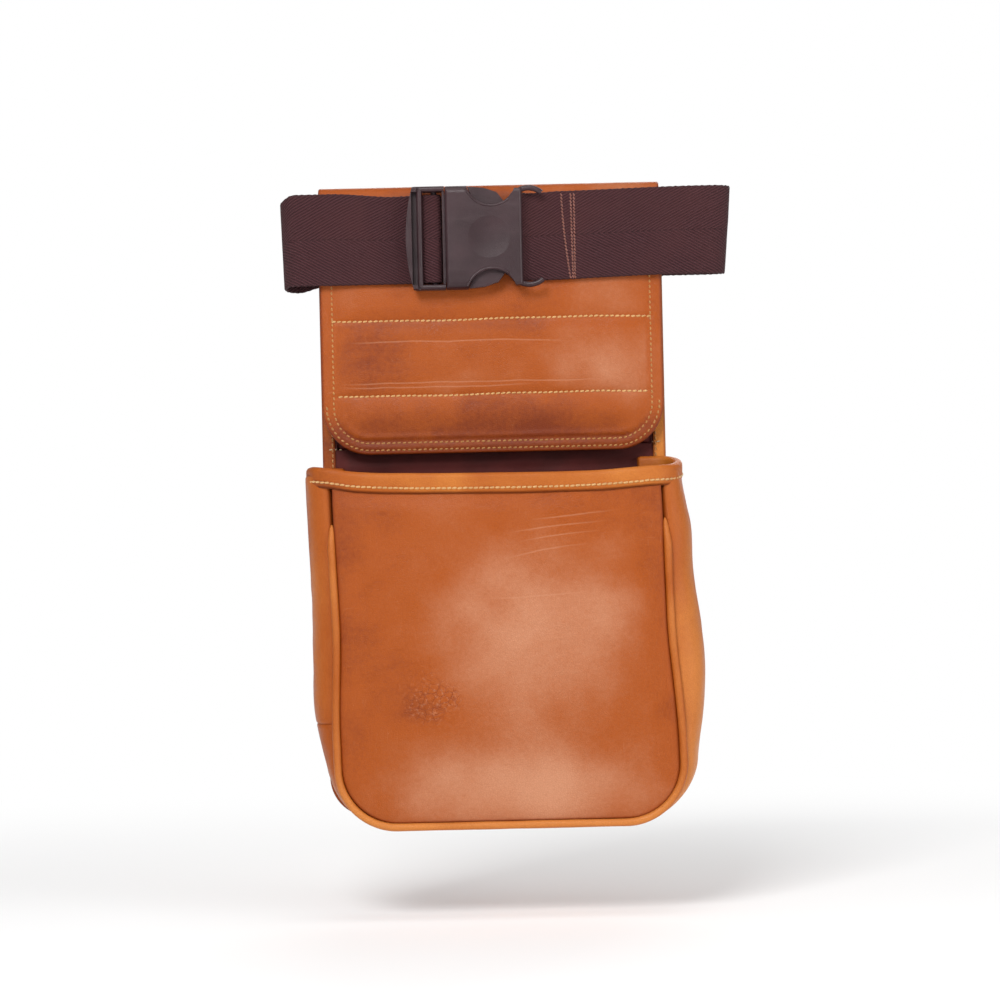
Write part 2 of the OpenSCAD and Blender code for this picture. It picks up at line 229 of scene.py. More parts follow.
def off_path(pts, nor, index, out):
    """Both coordinates of the places at a distance out from a plan path, along its normals."""
    return pts[index][..., 0] + nor[index][..., 0] * out, pts[index][..., 1] + nor[index][..., 1] * out


def stitch_parts(points, normals, pitch=3.0, length=2.5, width=.85, slant=0.10, lift=.1):
    """Vertices and faces of a row of thread stitches lying on a surface."""
    total = strand(points)[-1]
    count = max(1, int(total / pitch))
    mids = (np.arange(count) + .5) * total / count
    p, d, n = along(points, normals, mids)
    side = np.cross(n, d)
    d = d * math.cos(slant) + side * math.sin(slant)
    side = np.cross(n, d)
    rings, around = 9, 8
    verts, faces = [], []
    for k in range(count):
        jitter = .06 * math.sin(k * 2.399)
        base = len(verts)
        for a in range(rings):
            t = -1 + 2 * a / (rings - 1)
            r = width / 2 * math.sqrt(max(1 - abs(t) ** 3.2, 0.02))
            c = p[k] + d[k] * t * length / 2 + n[k] * (lift - .42 * t * t) + side[k] * jitter
            for b in range(around):
                w = 2 * math.pi * b / around
                verts.append(c + side[k] * r * math.cos(w) + n[k] * r * .8 * math.sin(w))
        for a in range(rings - 1):
            for b in range(around):
                e = (b + 1) % around
                faces.append([base + a * around + b, base + a * around + e,
                              base + (a + 1) * around + e, base + (a + 1) * around + b])
        faces.append([base + b for b in range(around)][::-1])
        faces.append([base + (rings - 1) * around + b for b in range(around)])
    return verts, faces


def facing(x, y, z, out=-1.0):
    """A sewn path with its normals along Y: -1 on a front face, 1 on a back face."""
    x, y, z = np.broadcast_arrays(x, y, z)
    return np.stack([x, y, z], 1), np.tile([0, out, 0], (len(x), 1))


def stitches(name, rows, material, **how):
    verts, faces = [], []
    for points, normals in rows:
        v, f = stitch_parts(np.asarray(points, float), np.asarray(normals, float), **how)
        faces += [[i + len(verts) for i in q] for q in f]
        verts += v
    return make_object(name, verts, faces, material)


# ---------------------------------------------------------------- materials


class Nodes:
    """Short hand for building a node material."""

    def __init__(self, name):
        self.mat = bpy.data.materials.new(name)
        self.mat.use_nodes = True
        self.tree = self.mat.node_tree
        self.bsdf = self.tree.nodes["Principled BSDF"]
        self.pos = self.add("ShaderNodeTexCoord").outputs["Object"]

    def add(self, kind, **props):
        n = self.tree.nodes.new(kind)
        for k, v in props.items():
            setattr(n, k, v)
        return n

    def put(self, socket, value):
        if isinstance(value, bpy.types.NodeSocket):
            self.tree.links.new(value, socket)
        else:
            socket.default_value = value

    def math(self, op, a, b=0.0, c=0.0, clamp=False):
        n = self.add("ShaderNodeMath", operation=op, use_clamp=clamp)
        for i, v in enumerate((a, b, c)):
            self.put(n.inputs[i], v)
        return n.outputs[0]

    def plus(self, base, value, k, middle=0.0, clamp=False):
        """base + (value - middle) * k"""
        if middle:
            value = self.math("SUBTRACT", value, middle)
        return self.math("MULTIPLY_ADD", value, k, base, clamp)

    def attr(self, name):
        return self.add("ShaderNodeAttribute", attribute_name=name).outputs["Fac"]

    def noise(self, scale, detail=3.0, rough=.55, where=None, distortion=0.0):
        n = self.add("ShaderNodeTexNoise")
        self.put(n.inputs["Vector"], where if where is not None else self.pos)
        self.put(n.inputs["Scale"], scale)
        self.put(n.inputs["Detail"], detail)
        self.put(n.inputs["Roughness"], rough)
        self.put(n.inputs["Distortion"], distortion)
        return n.outputs["Fac"]

    def cells(self, scale, feature="F1", where=None):
        n = self.add("ShaderNodeTexVoronoi", feature=feature)
        self.put(n.inputs["Vector"], where if where is not None else self.pos)
        self.put(n.inputs["Scale"], scale)
        return n.outputs["Distance"]

    def scaled(self, sx, sy, sz, where=None):
        n = self.add("ShaderNodeMapping")
        self.put(n.inputs["Vector"], where if where is not None else self.pos)
        self.put(n.inputs["Scale"], (sx, sy, sz))
        return n.outputs[0]

    def span(self, v, a, b, lo=0.0, hi=1.0):
        n = self.add("ShaderNodeMapRange", interpolation_type="SMOOTHSTEP")
        for i, x in enumerate((v, a, b, lo, hi)):
            self.put(n.inputs[i], x)
        return n.outputs[0]

    def mix(self, fac, a, b, blend="MIX"):
        n = self.add("ShaderNodeMix", data_type="RGBA", blend_type=blend)
        self.put(n.inputs[0], fac)
        self.put(n.inputs[6], a if isinstance(a, bpy.types.NodeSocket) else (*a, 1))
        self.put(n.inputs[7], b if isinstance(b, bpy.types.NodeSocket) else (*b, 1))
        return n.outputs[2]

    def bump(self, height, distance, strength=1.0):
        n = self.add("ShaderNodeBump")
        self.put(n.inputs["Height"], height)
        self.put(n.inputs["Distance"], distance)
        self.put(n.inputs["Strength"], strength)
        self.put(self.bsdf.inputs["Normal"], n.outputs[0])

    def surface(self, colour, rough, specular):
        self.put(self.bsdf.inputs["Base Color"], colour)
        self.put(self.bsdf.inputs["Roughness"], rough)
        self.bsdf.inputs["Specular IOR Level"].default_value = specular

    def xyz(self):
        s = self.add("ShaderNodeSeparateXYZ")
        self.put(s.inputs[0], self.pos)
        return s.outputs


def leather_material(name, deep, mid, light, seed, creases=(), worn=(), rough=.44):
    """Oiled pull-up leather: blotches, fine pores, scratches, worn edges and a soft gloss, with painted
    highlight and painted shade from the tone attribute.
    """
    m = Nodes(name)
    shifted = m.add("ShaderNodeMapping")
    m.put(shifted.inputs["Vector"], m.pos)
    m.put(shifted.inputs["Location"], (seed, seed * .37, seed * .71))
    here = shifted.outputs[0]
    big = m.noise(14, 4, .55, here, .6)
    mid_n = m.noise(55, 4, .6, here, .3)
    fine = m.noise(420, 4, .65, here)
    pores = m.cells(1500, "F1", here)
    grain = m.cells(900, "DISTANCE_TO_EDGE", here)
    hair = m.noise(260, 3, .6, m.scaled(1, 1, .22, here))
    streak = m.noise(48, 4, .65, m.scaled(.35, 1, 1.6, here), .5)
    # The tone attribute brings painted highlight and painted shade; the noise adds random blotches.
    tone_and_painted_light = pale = m.attr("tone_and_painted_light")
    for value, k in ((big, .42), (mid_n, .30), (streak, .26)):
        tone_and_painted_light = m.plus(tone_and_painted_light, value, k, .5)
    tone_and_painted_light = m.plus(tone_and_painted_light, fine, .34, .5, clamp=True)
    for value, k in ((big, .34), (mid_n, .14), (fine, .16)):
        pale = m.plus(pale, value, k, .5)
    # Low tone goes to the deep colour as painted shade and dark blotches; high pale goes to the light colour
    # as painted highlight and pale patches.
    low = m.mix(m.span(tone_and_painted_light, 0.0, .5), deep, mid)
    colour = m.mix(m.span(pale, .44, 1.08), low, light)
    # thin pale scratches in two directions
    lines = m.noise(30, 2, .5, m.scaled(9, 9, .5, here), 1.2)
    lines2 = m.noise(26, 2, .5, m.scaled(.6, 8, 9, here), 1.4)
    scratch = m.math("MAXIMUM", m.span(m.math("ABSOLUTE", m.math("SUBTRACT", lines, .5)), .006, 0, 0, .5),
                     m.span(m.math("ABSOLUTE", m.math("SUBTRACT", lines2, .5)), .005, 0, 0, .4))
    scratch = m.math("MULTIPLY", scratch, m.span(mid_n, .5, .66))
    colour = m.mix(m.math("MULTIPLY", scratch, .45), colour, light)
    colour = m.mix(m.span(grain, .16, 0, 0, .16), colour, deep)
    edge = m.attr("edge")
    colour = m.mix(m.span(edge, 2.0, 0.2, 0, .75), colour, deep)
    height = m.math("MULTIPLY", m.span(grain, 0, .25), .35)
    for value, k in ((fine, .9), (hair, .5), (scratch, -.35), (mid_n, 1.6), (pores, .12)):
        height = m.plus(height, value, k)
    x, _, z = m.xyz()
    sway = m.noise(22, 2, .5, here)
    for z0, rise, curve, x0, x1, depth in creases:
        line = m.plus(m.plus(z0, x, rise), m.math("MULTIPLY", x, x), curve)
        off = m.math("ABSOLUTE", m.math("SUBTRACT", z, m.plus(line, sway, .004, .5)))
        ends = m.math("MULTIPLY", m.span(x, x0, x0 + .02), m.span(x, x1, x1 - .03))
        cut = m.math("MULTIPLY", m.span(off, .0007, 0), ends)
        soft = m.math("MULTIPLY", m.span(off, .004, 0), ends)
        height = m.plus(m.plus(height, cut, -depth), soft, -depth * 1.2)
        colour = m.mix(m.math("MULTIPLY", cut, .35), colour, light)
    for wx, wz, rx, rz, cell, flat, depth in worn:
        dx = m.math("DIVIDE", m.math("SUBTRACT", x, wx), rx)
        dz = m.math("DIVIDE", m.math("SUBTRACT", z, wz), rz)
        r = m.math("SQRT", m.math("ADD", m.math("MULTIPLY", dx, dx), m.math("MULTIPLY", dz, dz)))
        r = m.plus(r, mid_n, 1.6, .5)
        area = m.span(r, 1.1, .3)
        bent = m.add("ShaderNodeVectorMath", operation="ADD")
        m.put(bent.inputs[0], m.scaled(flat, 1, 1, here))
        wander = m.math("MULTIPLY", m.noise(140, 3, .6, here), .006)
        joined = m.add("ShaderNodeCombineXYZ")
        m.put(joined.inputs[0], wander)
        m.put(joined.inputs[2], wander)
        m.put(bent.inputs[1], joined.outputs[0])
        web = m.math("MULTIPLY", m.span(m.cells(cell, "DISTANCE_TO_EDGE", bent.outputs[0]), .09, 0), area)
        height = m.plus(height, web, -depth)
        colour = m.mix(m.math("MULTIPLY", web, .55), colour, deep)
        colour = m.mix(m.math("MULTIPLY", m.math("MULTIPLY", area, m.span(fine, .5, .7)), .35), colour, light)
    m.surface(colour, m.span(mid_n, .3, .72, rough - .06, rough + .12), .27)
    m.bump(height, .00016, 1.0)
    return m.mat


# In every leather below the third colour is a painted highlight, pink-tan on the front and flap; it also
# serves pale scratches, creases and worn patches.
DEEP, MID, HIGHLIGHT_AND_PALE = (.180, .026, .0020), (.350, .068, .0022), (.54, .240, .130)
leather_front = leather_material(
    "leather_front", DEEP, MID, HIGHLIGHT_AND_PALE, 3.1,
    creases=[(-.1700, .16, -.6, .004, .068, .28), (-.1765, .21, -1.0, .010, .064, .24),
             (-.1640, .11, 0.0, .016, .074, .22), (-.1840, .25, -1.6, .000, .058, .18),
             (-.205, .02, .6, -.01, .06, .10)],
    worn=[(-.038, -.262, .020, .017, 260, 1.0, .8)])
leather_flap = leather_material(
    "leather_flap", DEEP, MID, HIGHLIGHT_AND_PALE, 8.3,
    creases=[(-.0585, -.020, -.25, -.085, .05, .55), (-.0815, -.003, -.15, -.088, .07, .55),
             (-.084, .012, .10, -.09, .03, .3)])
leather_side = leather_material("leather_side", DEEP, (.37, .077, .0035), (.60, .205, .040), 1.7)
leather_trim = leather_material("leather_trim", (.19, .032, .0030), (.38, .084, .0045),
                                (.62, .215, .034), 5.9, rough=.5)


def woven_nylon():
    """Fine plain-woven lining cloth, matt, with a faint sheen."""
    m = Nodes("nylon_lining")
    x, _, z = m.xyz()
    warp = m.math("SINE", m.math("MULTIPLY", x, 2 * math.pi / .0007))
    weft = m.math("SINE", m.math("MULTIPLY", z, 2 * math.pi / .0007))
    weave = m.math("MULTIPLY", warp, weft)
    cloud = m.noise(40, 4, .6)
    colour = m.mix(m.span(cloud, .3, .7), (.060, .0085, .0075), (.100, .017, .015))
    colour = m.mix(m.span(weave, -.6, 1, 0, .3), colour, (.12, .028, .025))
    m.surface(colour, m.span(cloud, .3, .7, .55, .72), .2)
    height = m.math("ADD", m.math("MULTIPLY", weave, .3), m.math("MULTIPLY", cloud, 2.0))
    m.bump(height, .00012)
    return m.mat


def webbing_material():
    """Herringbone webbing: chevrons that meet on the centre line, over fine cross ribs."""
    m = Nodes("webbing")
    u, v = m.attr("pu"), m.attr("pv")
    wob = m.math("MULTIPLY", m.math("SUBTRACT", m.noise(160, 2), .5), .35)
    side = m.math("ABSOLUTE", v)
    diagonal = m.plus(m.plus(wob, u, .46), side, .90)
    twill = m.math("SINE", m.math("MULTIPLY", diagonal, 2 * math.pi / 1.5))
    ribs = m.math("SINE", m.math("MULTIPLY", m.math("ADD", u, wob), 2 * math.pi / .62))
    ends = m.math("SINE", m.math("MULTIPLY", v, 2 * math.pi / .82))
    fuzz = m.noise(2600, 3, .7)
    cloud = m.noise(26, 3, .6)
    spine = m.span(side, .45, .1)
    selvedge = m.span(side, 23.4, 24.4)
    high = m.math("ADD", m.math("MULTIPLY", twill, .5), .5)
    colour = m.mix(high, (.022, .0045, .0060), (.074, .0225, .0265))
    colour = m.mix(m.span(fuzz, .50, .72, 0, .62), colour, (.140, .070, .080))
    colour = m.mix(m.span(m.math("MULTIPLY", ribs, ends), .1, 1, 0, .5), colour, (.024, .007, .009))
    colour = m.mix(m.span(cloud, .35, .75, 0, .3), colour, (.080, .024, .024))
    colour = m.mix(m.math("MULTIPLY", spine, .35), colour, (.030, .009, .011))
    colour = m.mix(m.math("MULTIPLY", selvedge, .45), colour, (.046, .018, .021))
    height = m.math("MULTIPLY", twill, .55)
    for value, k in ((m.math("MULTIPLY", ribs, ends), .3), (fuzz, .5), (spine, -.5)):
        height = m.plus(height, value, k)
    m.surface(colour, m.span(fuzz, .3, .7, .62, .8), .22)
    m.bump(height, .00034)
    return m.mat


def plastic_material():
    """Moulded plastic with spark-eroded texture and rubbed, slightly paler high spots."""
    m = Nodes("buckle_plastic")
    spark = m.noise(2300, 3, .6)
    cloud = m.noise(45, 4, .6)
    smear = m.noise(30, 3, .6, m.scaled(1, 1, 6))
    colour = m.mix(m.span(cloud, .3, .7), (.024, .0085, .0110), (.040, .0170, .0205))
    colour = m.mix(m.span(smear, .55, .8, 0, .35), colour, (.070, .036, .040))
    colour = m.mix(m.span(spark, .56, .78, 0, .4), colour, (.090, .053, .058))
    m.surface(colour, m.span(smear, .3, .75, .32, .44), .40)
    m.bump(m.math("ADD", spark, m.math("MULTIPLY", cloud, 1.5)), .00009)
    return m.mat


def thread_material(name, dark, light):
    """Twisted polyester thread."""
    m = Nodes(name)
    x, y, z = m.xyz()
    twist = m.math("SINE", m.math("MULTIPLY", m.math("ADD", m.math("ADD", x, z), y), 2 * math.pi / .00062))
    tint = m.noise(90, 2)
    colour = m.mix(m.span(twist, -1, 1), dark, light)
    colour = m.mix(m.span(tint, .4, .7, 0, .5), colour, dark)
    m.put(m.bsdf.inputs["Base Color"], colour)
    m.put(m.bsdf.inputs["Roughness"], m.span(tint, .3, .7, .45, .6))
    m.bsdf.inputs["Sheen Weight"].default_value = .2
    m.bump(twist, .00008)
    return m.mat


nylon = woven_nylon()
webbing = webbing_material()
plastic = plastic_material()
gold_thread = thread_material("thread_gold", (.36, .135, .022), (.70, .35, .095))
pale_thread = thread_material("thread_pale", (.52, .25, .065), (.90, .58, .24))
beige_thread = thread_material("thread_beige", (.46, .27, .13), (.74, .55, .33))
rust_thread = thread_material("thread_rust", (.17, .042, .026), (.32, .110, .072))

# ---------------------------------------------------------------- flap and yoke

CLOTH_T = .6
FLAP_H = FLAP_HI[0]
FLAP_BOTTOM = FLAP_LO[2]
FLAP_R = 27.0
FOLD_R = (YOKE_HI[1] - YOKE_LO[1]) / 2
FOLD_Y = (YOKE_HI[1] + YOKE_LO[1]) / 2
FOLD_Z = YOKE_HI[2] - FOLD_R
LEATHER = 2.0
ROW_1, ROW_2 = HINGE_Z, -89.0
BORDER = 8.7
SEAT_Y = YOKE_LO[1] + LEATHER


def round_sdf(x, z, h, bottom, r):
    """Distance inside a panel's outline, whose bottom corners have radius r."""
    dx, dz = h - np.abs(x), z - bottom
    corner = r - np.hypot(np.minimum(dx - r, 0), np.minimum(dz - r, 0))
    return np.where((dx < r) & (dz < r), corner, np.minimum(dx, dz))


def panel_grid(u, v, half_w, top, bottom, r):
    """U, V, X and Z of a panel hung from its top, with bottom corners of radius r."""
    U, V = np.meshgrid(u, v, indexing="ij")
    Z = top - V
    low = np.clip((bottom + r - Z) / r, 0, 1)
    return U, V, U * (half_w - r * (1 - np.sqrt(np.clip(1 - low ** 2, 0, 1)))), Z


def flap_front(x, z):
    """Depth of the flap's front face: border, rolled inner edge, padded channels, sewn rows."""
    d = round_sdf(x, z, FLAP_H, FLAP_BOTTOM, FLAP_R)
    y = SEAT_Y - .9 - .55 * np.sin(np.clip(d / BORDER, 0, 1) * np.pi)
    y = y + .35 * hump(d - 6.3, .8) + .25 * hump(d - 2.4, .7) * smooth(-92, -104, z)
    inner = smooth(BORDER - .3, BORDER + .7, d)
    lip = hump(d - BORDER - 1.2, 1.1) * smooth(-70, -112, z)
    rise = smooth(BORDER, BORDER + 16, d)
    pad = 1.0 - .55 * hump(z - ROW_1, 5.0) - .55 * hump(z - ROW_2, 5.0)
    y = y - inner * .75 - .45 * lip - rise * 1.35 * pad
    cut = hump(z - ROW_1, 1.1) + hump(z - ROW_2, 1.1) * smooth(5.5, 7, d)
    y = y + .65 * cut * smooth(5.5, 7.5, d)
    # puckers beside the sewn rows, and long slow waves
    for row in (ROW_1, ROW_2):
        y = y - .16 * noise(x, z * .25, 5.5, 11) * hump(np.abs(z - row) - 3, 2.6) * inner
    y = y - .22 * noise(x * .35, z, 17, 4) * rise - .12 * noise(x, z, 7, 5) * rise
    return y


def flap_painted_light_and_tone(x, z):
    """Painted shade along the bottom and the left, pink-tan painted highlights towards the upper right."""
    d = round_sdf(x, z, FLAP_H, FLAP_BOTTOM, FLAP_R)
    t = .42 + .10 * noise(x, z, 34, 21) + .08 * noise(x, z, 13, 22)
    # painted shade towards the bottom and on the left
    t = t - .27 * smooth(-84, -112, z) * smooth(104, 20, np.abs(x - 5))
    t = t - .16 * smooth(-20, -85, x) * smooth(-50, -62, z) * smooth(-95, -80, z)
    # pink-tan painted highlights at the upper right, the upper left, the right and over the padding above the
    # lower row
    t = t + .22 * spot(x - 64, z + 76, 38, 17)
    t = t + .14 * spot(x + 80, z + 34, 22, 12)
    t = t + .16 * smooth(10, 90, x) * smooth(-110, -60, z)
    t = t + .14 * spot(x + 35, z + 84, 40, 8)
    # painted shade just under the upper sewn row
    t = t - .10 * hump(z - ROW_1 + 3, 3)
    # the border is evened out, with painted shade along the bottom
    low_border = smooth(-96, -112, z)
    return np.where(d < BORDER, (t * .5 + .24) * (1 - low_border) + .13 * low_border, t)


u_x = edge_steps(2 * FLAP_H, 1.9, 1.0) - FLAP_H
arc = math.pi * (FOLD_R - LEATHER / 2)
drop = FOLD_Z - FLAP_BOTTOM
v_down = np.concatenate([
    np.linspace(0, drop - FLAP_R, 95)[1:],
    drop - FLAP_R + FLAP_R * np.sin(np.linspace(0, math.pi / 2, 30))[1:]])
v_all = np.concatenate([np.linspace(-arc, 0, 15), v_down])
U, V, X, Z = panel_grid(u_x / FLAP_H, v_all, FLAP_H, FOLD_Z, FLAP_BOTTOM, FLAP_R)
turn = np.clip(-V / arc, 0, 1) * math.pi
Z = np.where(V < 0, FOLD_Z + (FOLD_R - 1) * np.sin(turn), Z)
flat_y = flap_front(X, np.minimum(Z, FOLD_Z)) + LEATHER / 2
fade = smooth(20, 60, V)
front_y = flat_y * fade + (YOKE_LO[1] + LEATHER / 2 - .12 * noise(X, Z, 20, 3)) * (1 - fade)
Y = np.where(V < 0, FOLD_Y - (FOLD_R - 1) * np.cos(turn), front_y)
sdf = np.where(V < 0, np.minimum(FLAP_H - np.abs(X), V + arc),
               round_sdf(X, Z, FLAP_H, FLAP_BOTTOM, FLAP_R))
tone_and_painted_light = flap_painted_light_and_tone(X, Z)
flap_skin = shell("flap_skin", np.stack([X, Y, Z], 2), LEATHER * rounding(sdf, 1.0),
                  leather_flap, {"tone_and_painted_light": tone_and_painted_light, "edge": sdf})


def flap_row(pts):
    """A sewn path on the flap, with normals that face forwards."""
    pts = np.asarray(pts, float)
    y = flap_front(pts[:, 0], pts[:, 1])
    f = smooth(20, 60, FOLD_Z - pts[:, 1])
    y = y * f + YOKE_LO[1] * (1 - f)
    return facing(pts[:, 0], y, pts[:, 1])


def flap_outline(inset, z_top, h=FLAP_H, r=FLAP_R, b=FLAP_BOTTOM):
    """A panel's outline from the upper left, round the bottom, to the upper right."""
    h, r, b = h - inset, r - inset, b + inset
    a = np.linspace(math.pi, 1.5 * math.pi, 24)
    left = np.stack([-h + r + r * np.cos(a), b + r + r * np.sin(a)], 1)
    right = left[::-1] * [-1, 1]
    return np.concatenate([[[-h, z] for z in np.linspace(z_top, b + r, 60)[:-1]], left,
                           [[x, b] for x in np.linspace(-h + r, h - r, 60)[1:-1]], right,
                           [[h, z] for z in np.linspace(b + r, z_top, 60)[1:]]])


def wavy_row(x0, x1, z, n=70):
    x = np.linspace(x0, x1, n)
    return np.stack([x, z + .35 * np.sin(x / 23.0) + .2 * np.sin(x / 9.0 + 1)], 1)


inner_corner = flap_outline(6.5, -22)
outer_bottom = flap_outline(2.5, -100)
flap_thread = stitches("flap_thread", [flap_row(inner_corner), flap_row(outer_bottom)], gold_thread,
                       length=2.5, width=1.05, lift=.02, slant=.22)
row_thread = stitches("row_thread", [
    flap_row(wavy_row(-FLAP_H + 6, FLAP_H - 6, ROW_1)),
    flap_row(wavy_row(-FLAP_H + 9, FLAP_H - 9, ROW_2))],
    pale_thread, length=2.95, width=1.2, slant=.2, lift=.1)

FLAP_LINING_Y = node_box("flap_lining")[1][1]
u_x = edge_steps(2 * (FLAP_H - 1), 6, .4) - (FLAP_H - 1)
v_all = np.concatenate([np.linspace(0, 60, 24)[:-1], np.arange(60, 77, 2),
                        np.linspace(78, drop - FLAP_R, 14),
                        drop - FLAP_R + (FLAP_R - 1) * np.sin(np.linspace(0, math.pi / 2, 12))[1:]])
U, V, X, Z = panel_grid(u_x / (FLAP_H - 1), v_all, FLAP_H - 1, FOLD_Z, FLAP_BOTTOM + 1, FLAP_R - 1)
sdf = round_sdf(X, Z, FLAP_H - 1, FLAP_BOTTOM + 1, FLAP_R - 1)
Y = FLAP_LINING_Y - .3 - 1.6 * (1 - rounding(sdf, 7)) - .25 * noise(X, Z, 14, 6)
top_d = np.minimum(sdf, V)
flap_back = shell("flap_back_cloth", np.stack([X, Y, Z], 2), CLOTH_T * rounding(top_d, .3), nylon,
                  {"tone_and_painted_light": .5, "edge": sdf})

# ---------------------------------------------------------------- back panel, strips, lining, pocket

BACK_H, BACK_BOTTOM, BACK_R = BACK_HI[0], BACK_LO[2], 23


def back_depth(x, z):
    """Mid depth of the back panel, which is gently wavy below the tunnel."""
    return (BACK_LO[1] + BACK_HI[1]) / 2 + .25 * noise(x, z, 45, 7) * smooth(62, 110, FOLD_Z - z)


u_x = edge_steps(2 * BACK_H, 5, 1.0) - BACK_H
straight = FOLD_Z - BACK_BOTTOM - BACK_R
v_all = np.concatenate([np.linspace(0, 1, 3)[:-1], np.linspace(1, straight, 70),
                        straight + BACK_R * np.sin(np.linspace(0, math.pi / 2, 22))[1:]])
U, V, X, Z = panel_grid(u_x / BACK_H, v_all, BACK_H, FOLD_Z, BACK_BOTTOM, BACK_R)
sdf = np.minimum(round_sdf(X, Z, BACK_H, BACK_BOTTOM, BACK_R), V)
Y = back_depth(X, Z)
back_leather = shell("back_leather", np.stack([X, Y, Z], 2), LEATHER * rounding(sdf, 1.0),
                     leather_trim, {"tone_and_painted_light": .42 + .12 * noise(X, Z, 40, 9), "edge": sdf})


def flat_sheet(name, x0, x1, z0, z1, depth, thick, material, step=4.0, tone_and_painted_light=.5):
    """A rectangular sheet in the XZ plane; depth is a function of x and z."""
    r = thick / 2
    xs, zs = edge_steps(x1 - x0, step, r) + x0, z1 - edge_steps(z1 - z0, step, r)
    Xs, Zs = np.meshgrid(xs, zs, indexing="ij")
    d = np.minimum(np.minimum(Xs - x0, x1 - Xs), np.minimum(Zs - z0, z1 - Zs))
    P = np.stack([Xs, depth(Xs, Zs), Zs], 2)
    t = tone_and_painted_light(Xs, Zs) if callable(tone_and_painted_light) else tone_and_painted_light
    return shell(name, P, thick * rounding(d, r), material, {"tone_and_painted_light": t, "edge": d})


STRIP_LO, STRIP_HI = node_box("edge_strip_right")
strips = []
# The left strip is given painted shade and the right strip a painted highlight.
for side, tag in ((-1, "left"), (1, "right")):
    x0, x1 = sorted((side * STRIP_LO[0], side * STRIP_HI[0]))
    strips.append(flat_sheet(
        "strip_leather_" + tag, x0, x1, STRIP_LO[2] - 3, STRIP_HI[2],
        lambda x, z: (STRIP_LO[1] + STRIP_HI[1]) / 2 - .25 - .2 * noise(x, z, 12, 8), 2.0,
        leather_trim, 2.0, lambda x, z: np.where(x < 0, .24, .96) + .12 * noise(x, z, 15, 14)))

LINING_LO = node_box("back_lining")[0]


def lining_depth(x, z):
    fold = .9 * np.exp(-((z + 127.5 - x * .02) / 2.2) ** 2)
    fold = fold + .5 * noise(x * .5, z, 9, 31) * smooth(-112, -122, z)
    return LINING_LO[1] - .1 - fold * smooth(92, 80, np.abs(x)) * smooth(-108, -118, z)


CLOTH_JOIN, BAG_CLOTH_H, POCKET_SEAM_Z = -150, 87, -118.6
back_cloth = flat_sheet("back_cloth", -STRIP_LO[0] - .4, STRIP_LO[0] + .4, CLOTH_JOIN, STRIP_HI[2],
                        lining_depth, CLOTH_T, nylon, 2.2)
lower_cloth = flat_sheet("bag_back_cloth", -BAG_CLOTH_H, BAG_CLOTH_H, LINING_LO[2] + 4, CLOTH_JOIN + .5,
                         lambda x, z: LINING_LO[1] + .2 - .4 * noise(x, z, 18, 33), CLOTH_T, nylon, 6)

POCKET_LO, POCKET_HI = node_box("upper_pocket")
POCKET_H = POCKET_HI[0] + 2.4
U, V = np.meshgrid(np.linspace(0, 1, 61), np.linspace(0, 1, 40), indexing="ij")
Z = POCKET_HI[2] + (POCKET_LO[2] - .2 - POCKET_HI[2]) * V
X = (U - .5) * 2 * POCKET_H
side_fall = rounding(POCKET_H - np.abs(X), 7)
close = rounding((1 - V) * 66, 26)
Y = LINING_LO[1] - .5 - (LINING_LO[1] - POCKET_LO[1] - .9) * side_fall * (.12 + .88 * close)
Y = Y - .25 * noise(X, Z, 13, 35) * side_fall * close
ends = np.minimum(np.minimum(U, 1 - U) * 180, np.minimum(V, 1 - V) * 66)
pocket_cloth = shell("pocket_cloth", np.stack([X, Y, Z], 2), CLOTH_T * rounding(ends, .3), nylon,
                     {"tone_and_painted_light": .5, "edge": ends})

# ---------------------------------------------------------------- bag: front, gusset, welt, collar

SEAM_Y = FRONT_HI[1]
FRONT_BOTTOM = FRONT_LO[2]
FRONT_R = 31.0
RIM_WALL_Y = -54.8
BAG_TOP, SEAM_TOP, WELT_TOP, SPLICE_Z, FRONT_TALL = -159, -133.0, -162.0, -275, 198.0


def bag_centre(z):
    """The bag leans a little to the right on its way down."""
    return 1.35 + .030 * np.clip(BAG_TOP - z, -30, 175)


def bag_half(z):
    t = BAG_TOP - z
    return 92.7 + 2.6 * smooth(60, 128, t) - .5 * smooth(0, 55, t) * smooth(110, 60, t)


def rim_z(x):
    """The rim sags in the middle and is higher on the left."""
    k = np.clip((x + 92) / 186, 0, 1)
    return -131.5 - 3.1 * np.sin(np.pi * np.clip(k * 1.04, 0, 1)) ** .8 - 1.3 * k


def front_depth(x, z):
    """Front face of the panel: crowned, pulled in at the seam, with soft dents and wrinkles."""
    xc = x - bag_centre(z)
    d = round_sdf(xc, z, bag_half(z), FRONT_BOTTOM, FRONT_R)
    y = FRONT_LO[1] + 1.6 - 2.0 * rounding(d, 9) - 2.6 * smooth(0, 70, d)
    y = y - .7 * noise(x, z, 70, 41) - .35 * noise(x, z, 28, 42) * smooth(2, 20, d)
    y = y - .10 * noise(x, z, 9, 43)
    # fan of wrinkles at the upper right
    a = (z + 168) - (x - 45) * .14
    fan = spot(x - 46, z + 168, 24, 10)
    y = y + .22 * np.sin(a * 1.5 + 1.6 * noise(x, z, 18, 44)) * fan
    # a shallow vertical furrow beside each side seam
    y = y + .8 * hump(d - 13, 6) * smooth(-150, -200, z) * smooth(-322, -290, z)
    # the top lies flat inside the collar
    k = smooth(-22, -11, z - rim_z(x))
    return y * (1 - k) + (RIM_WALL_Y + 1.5 * (x / 82) ** 2 - 1.0) * k


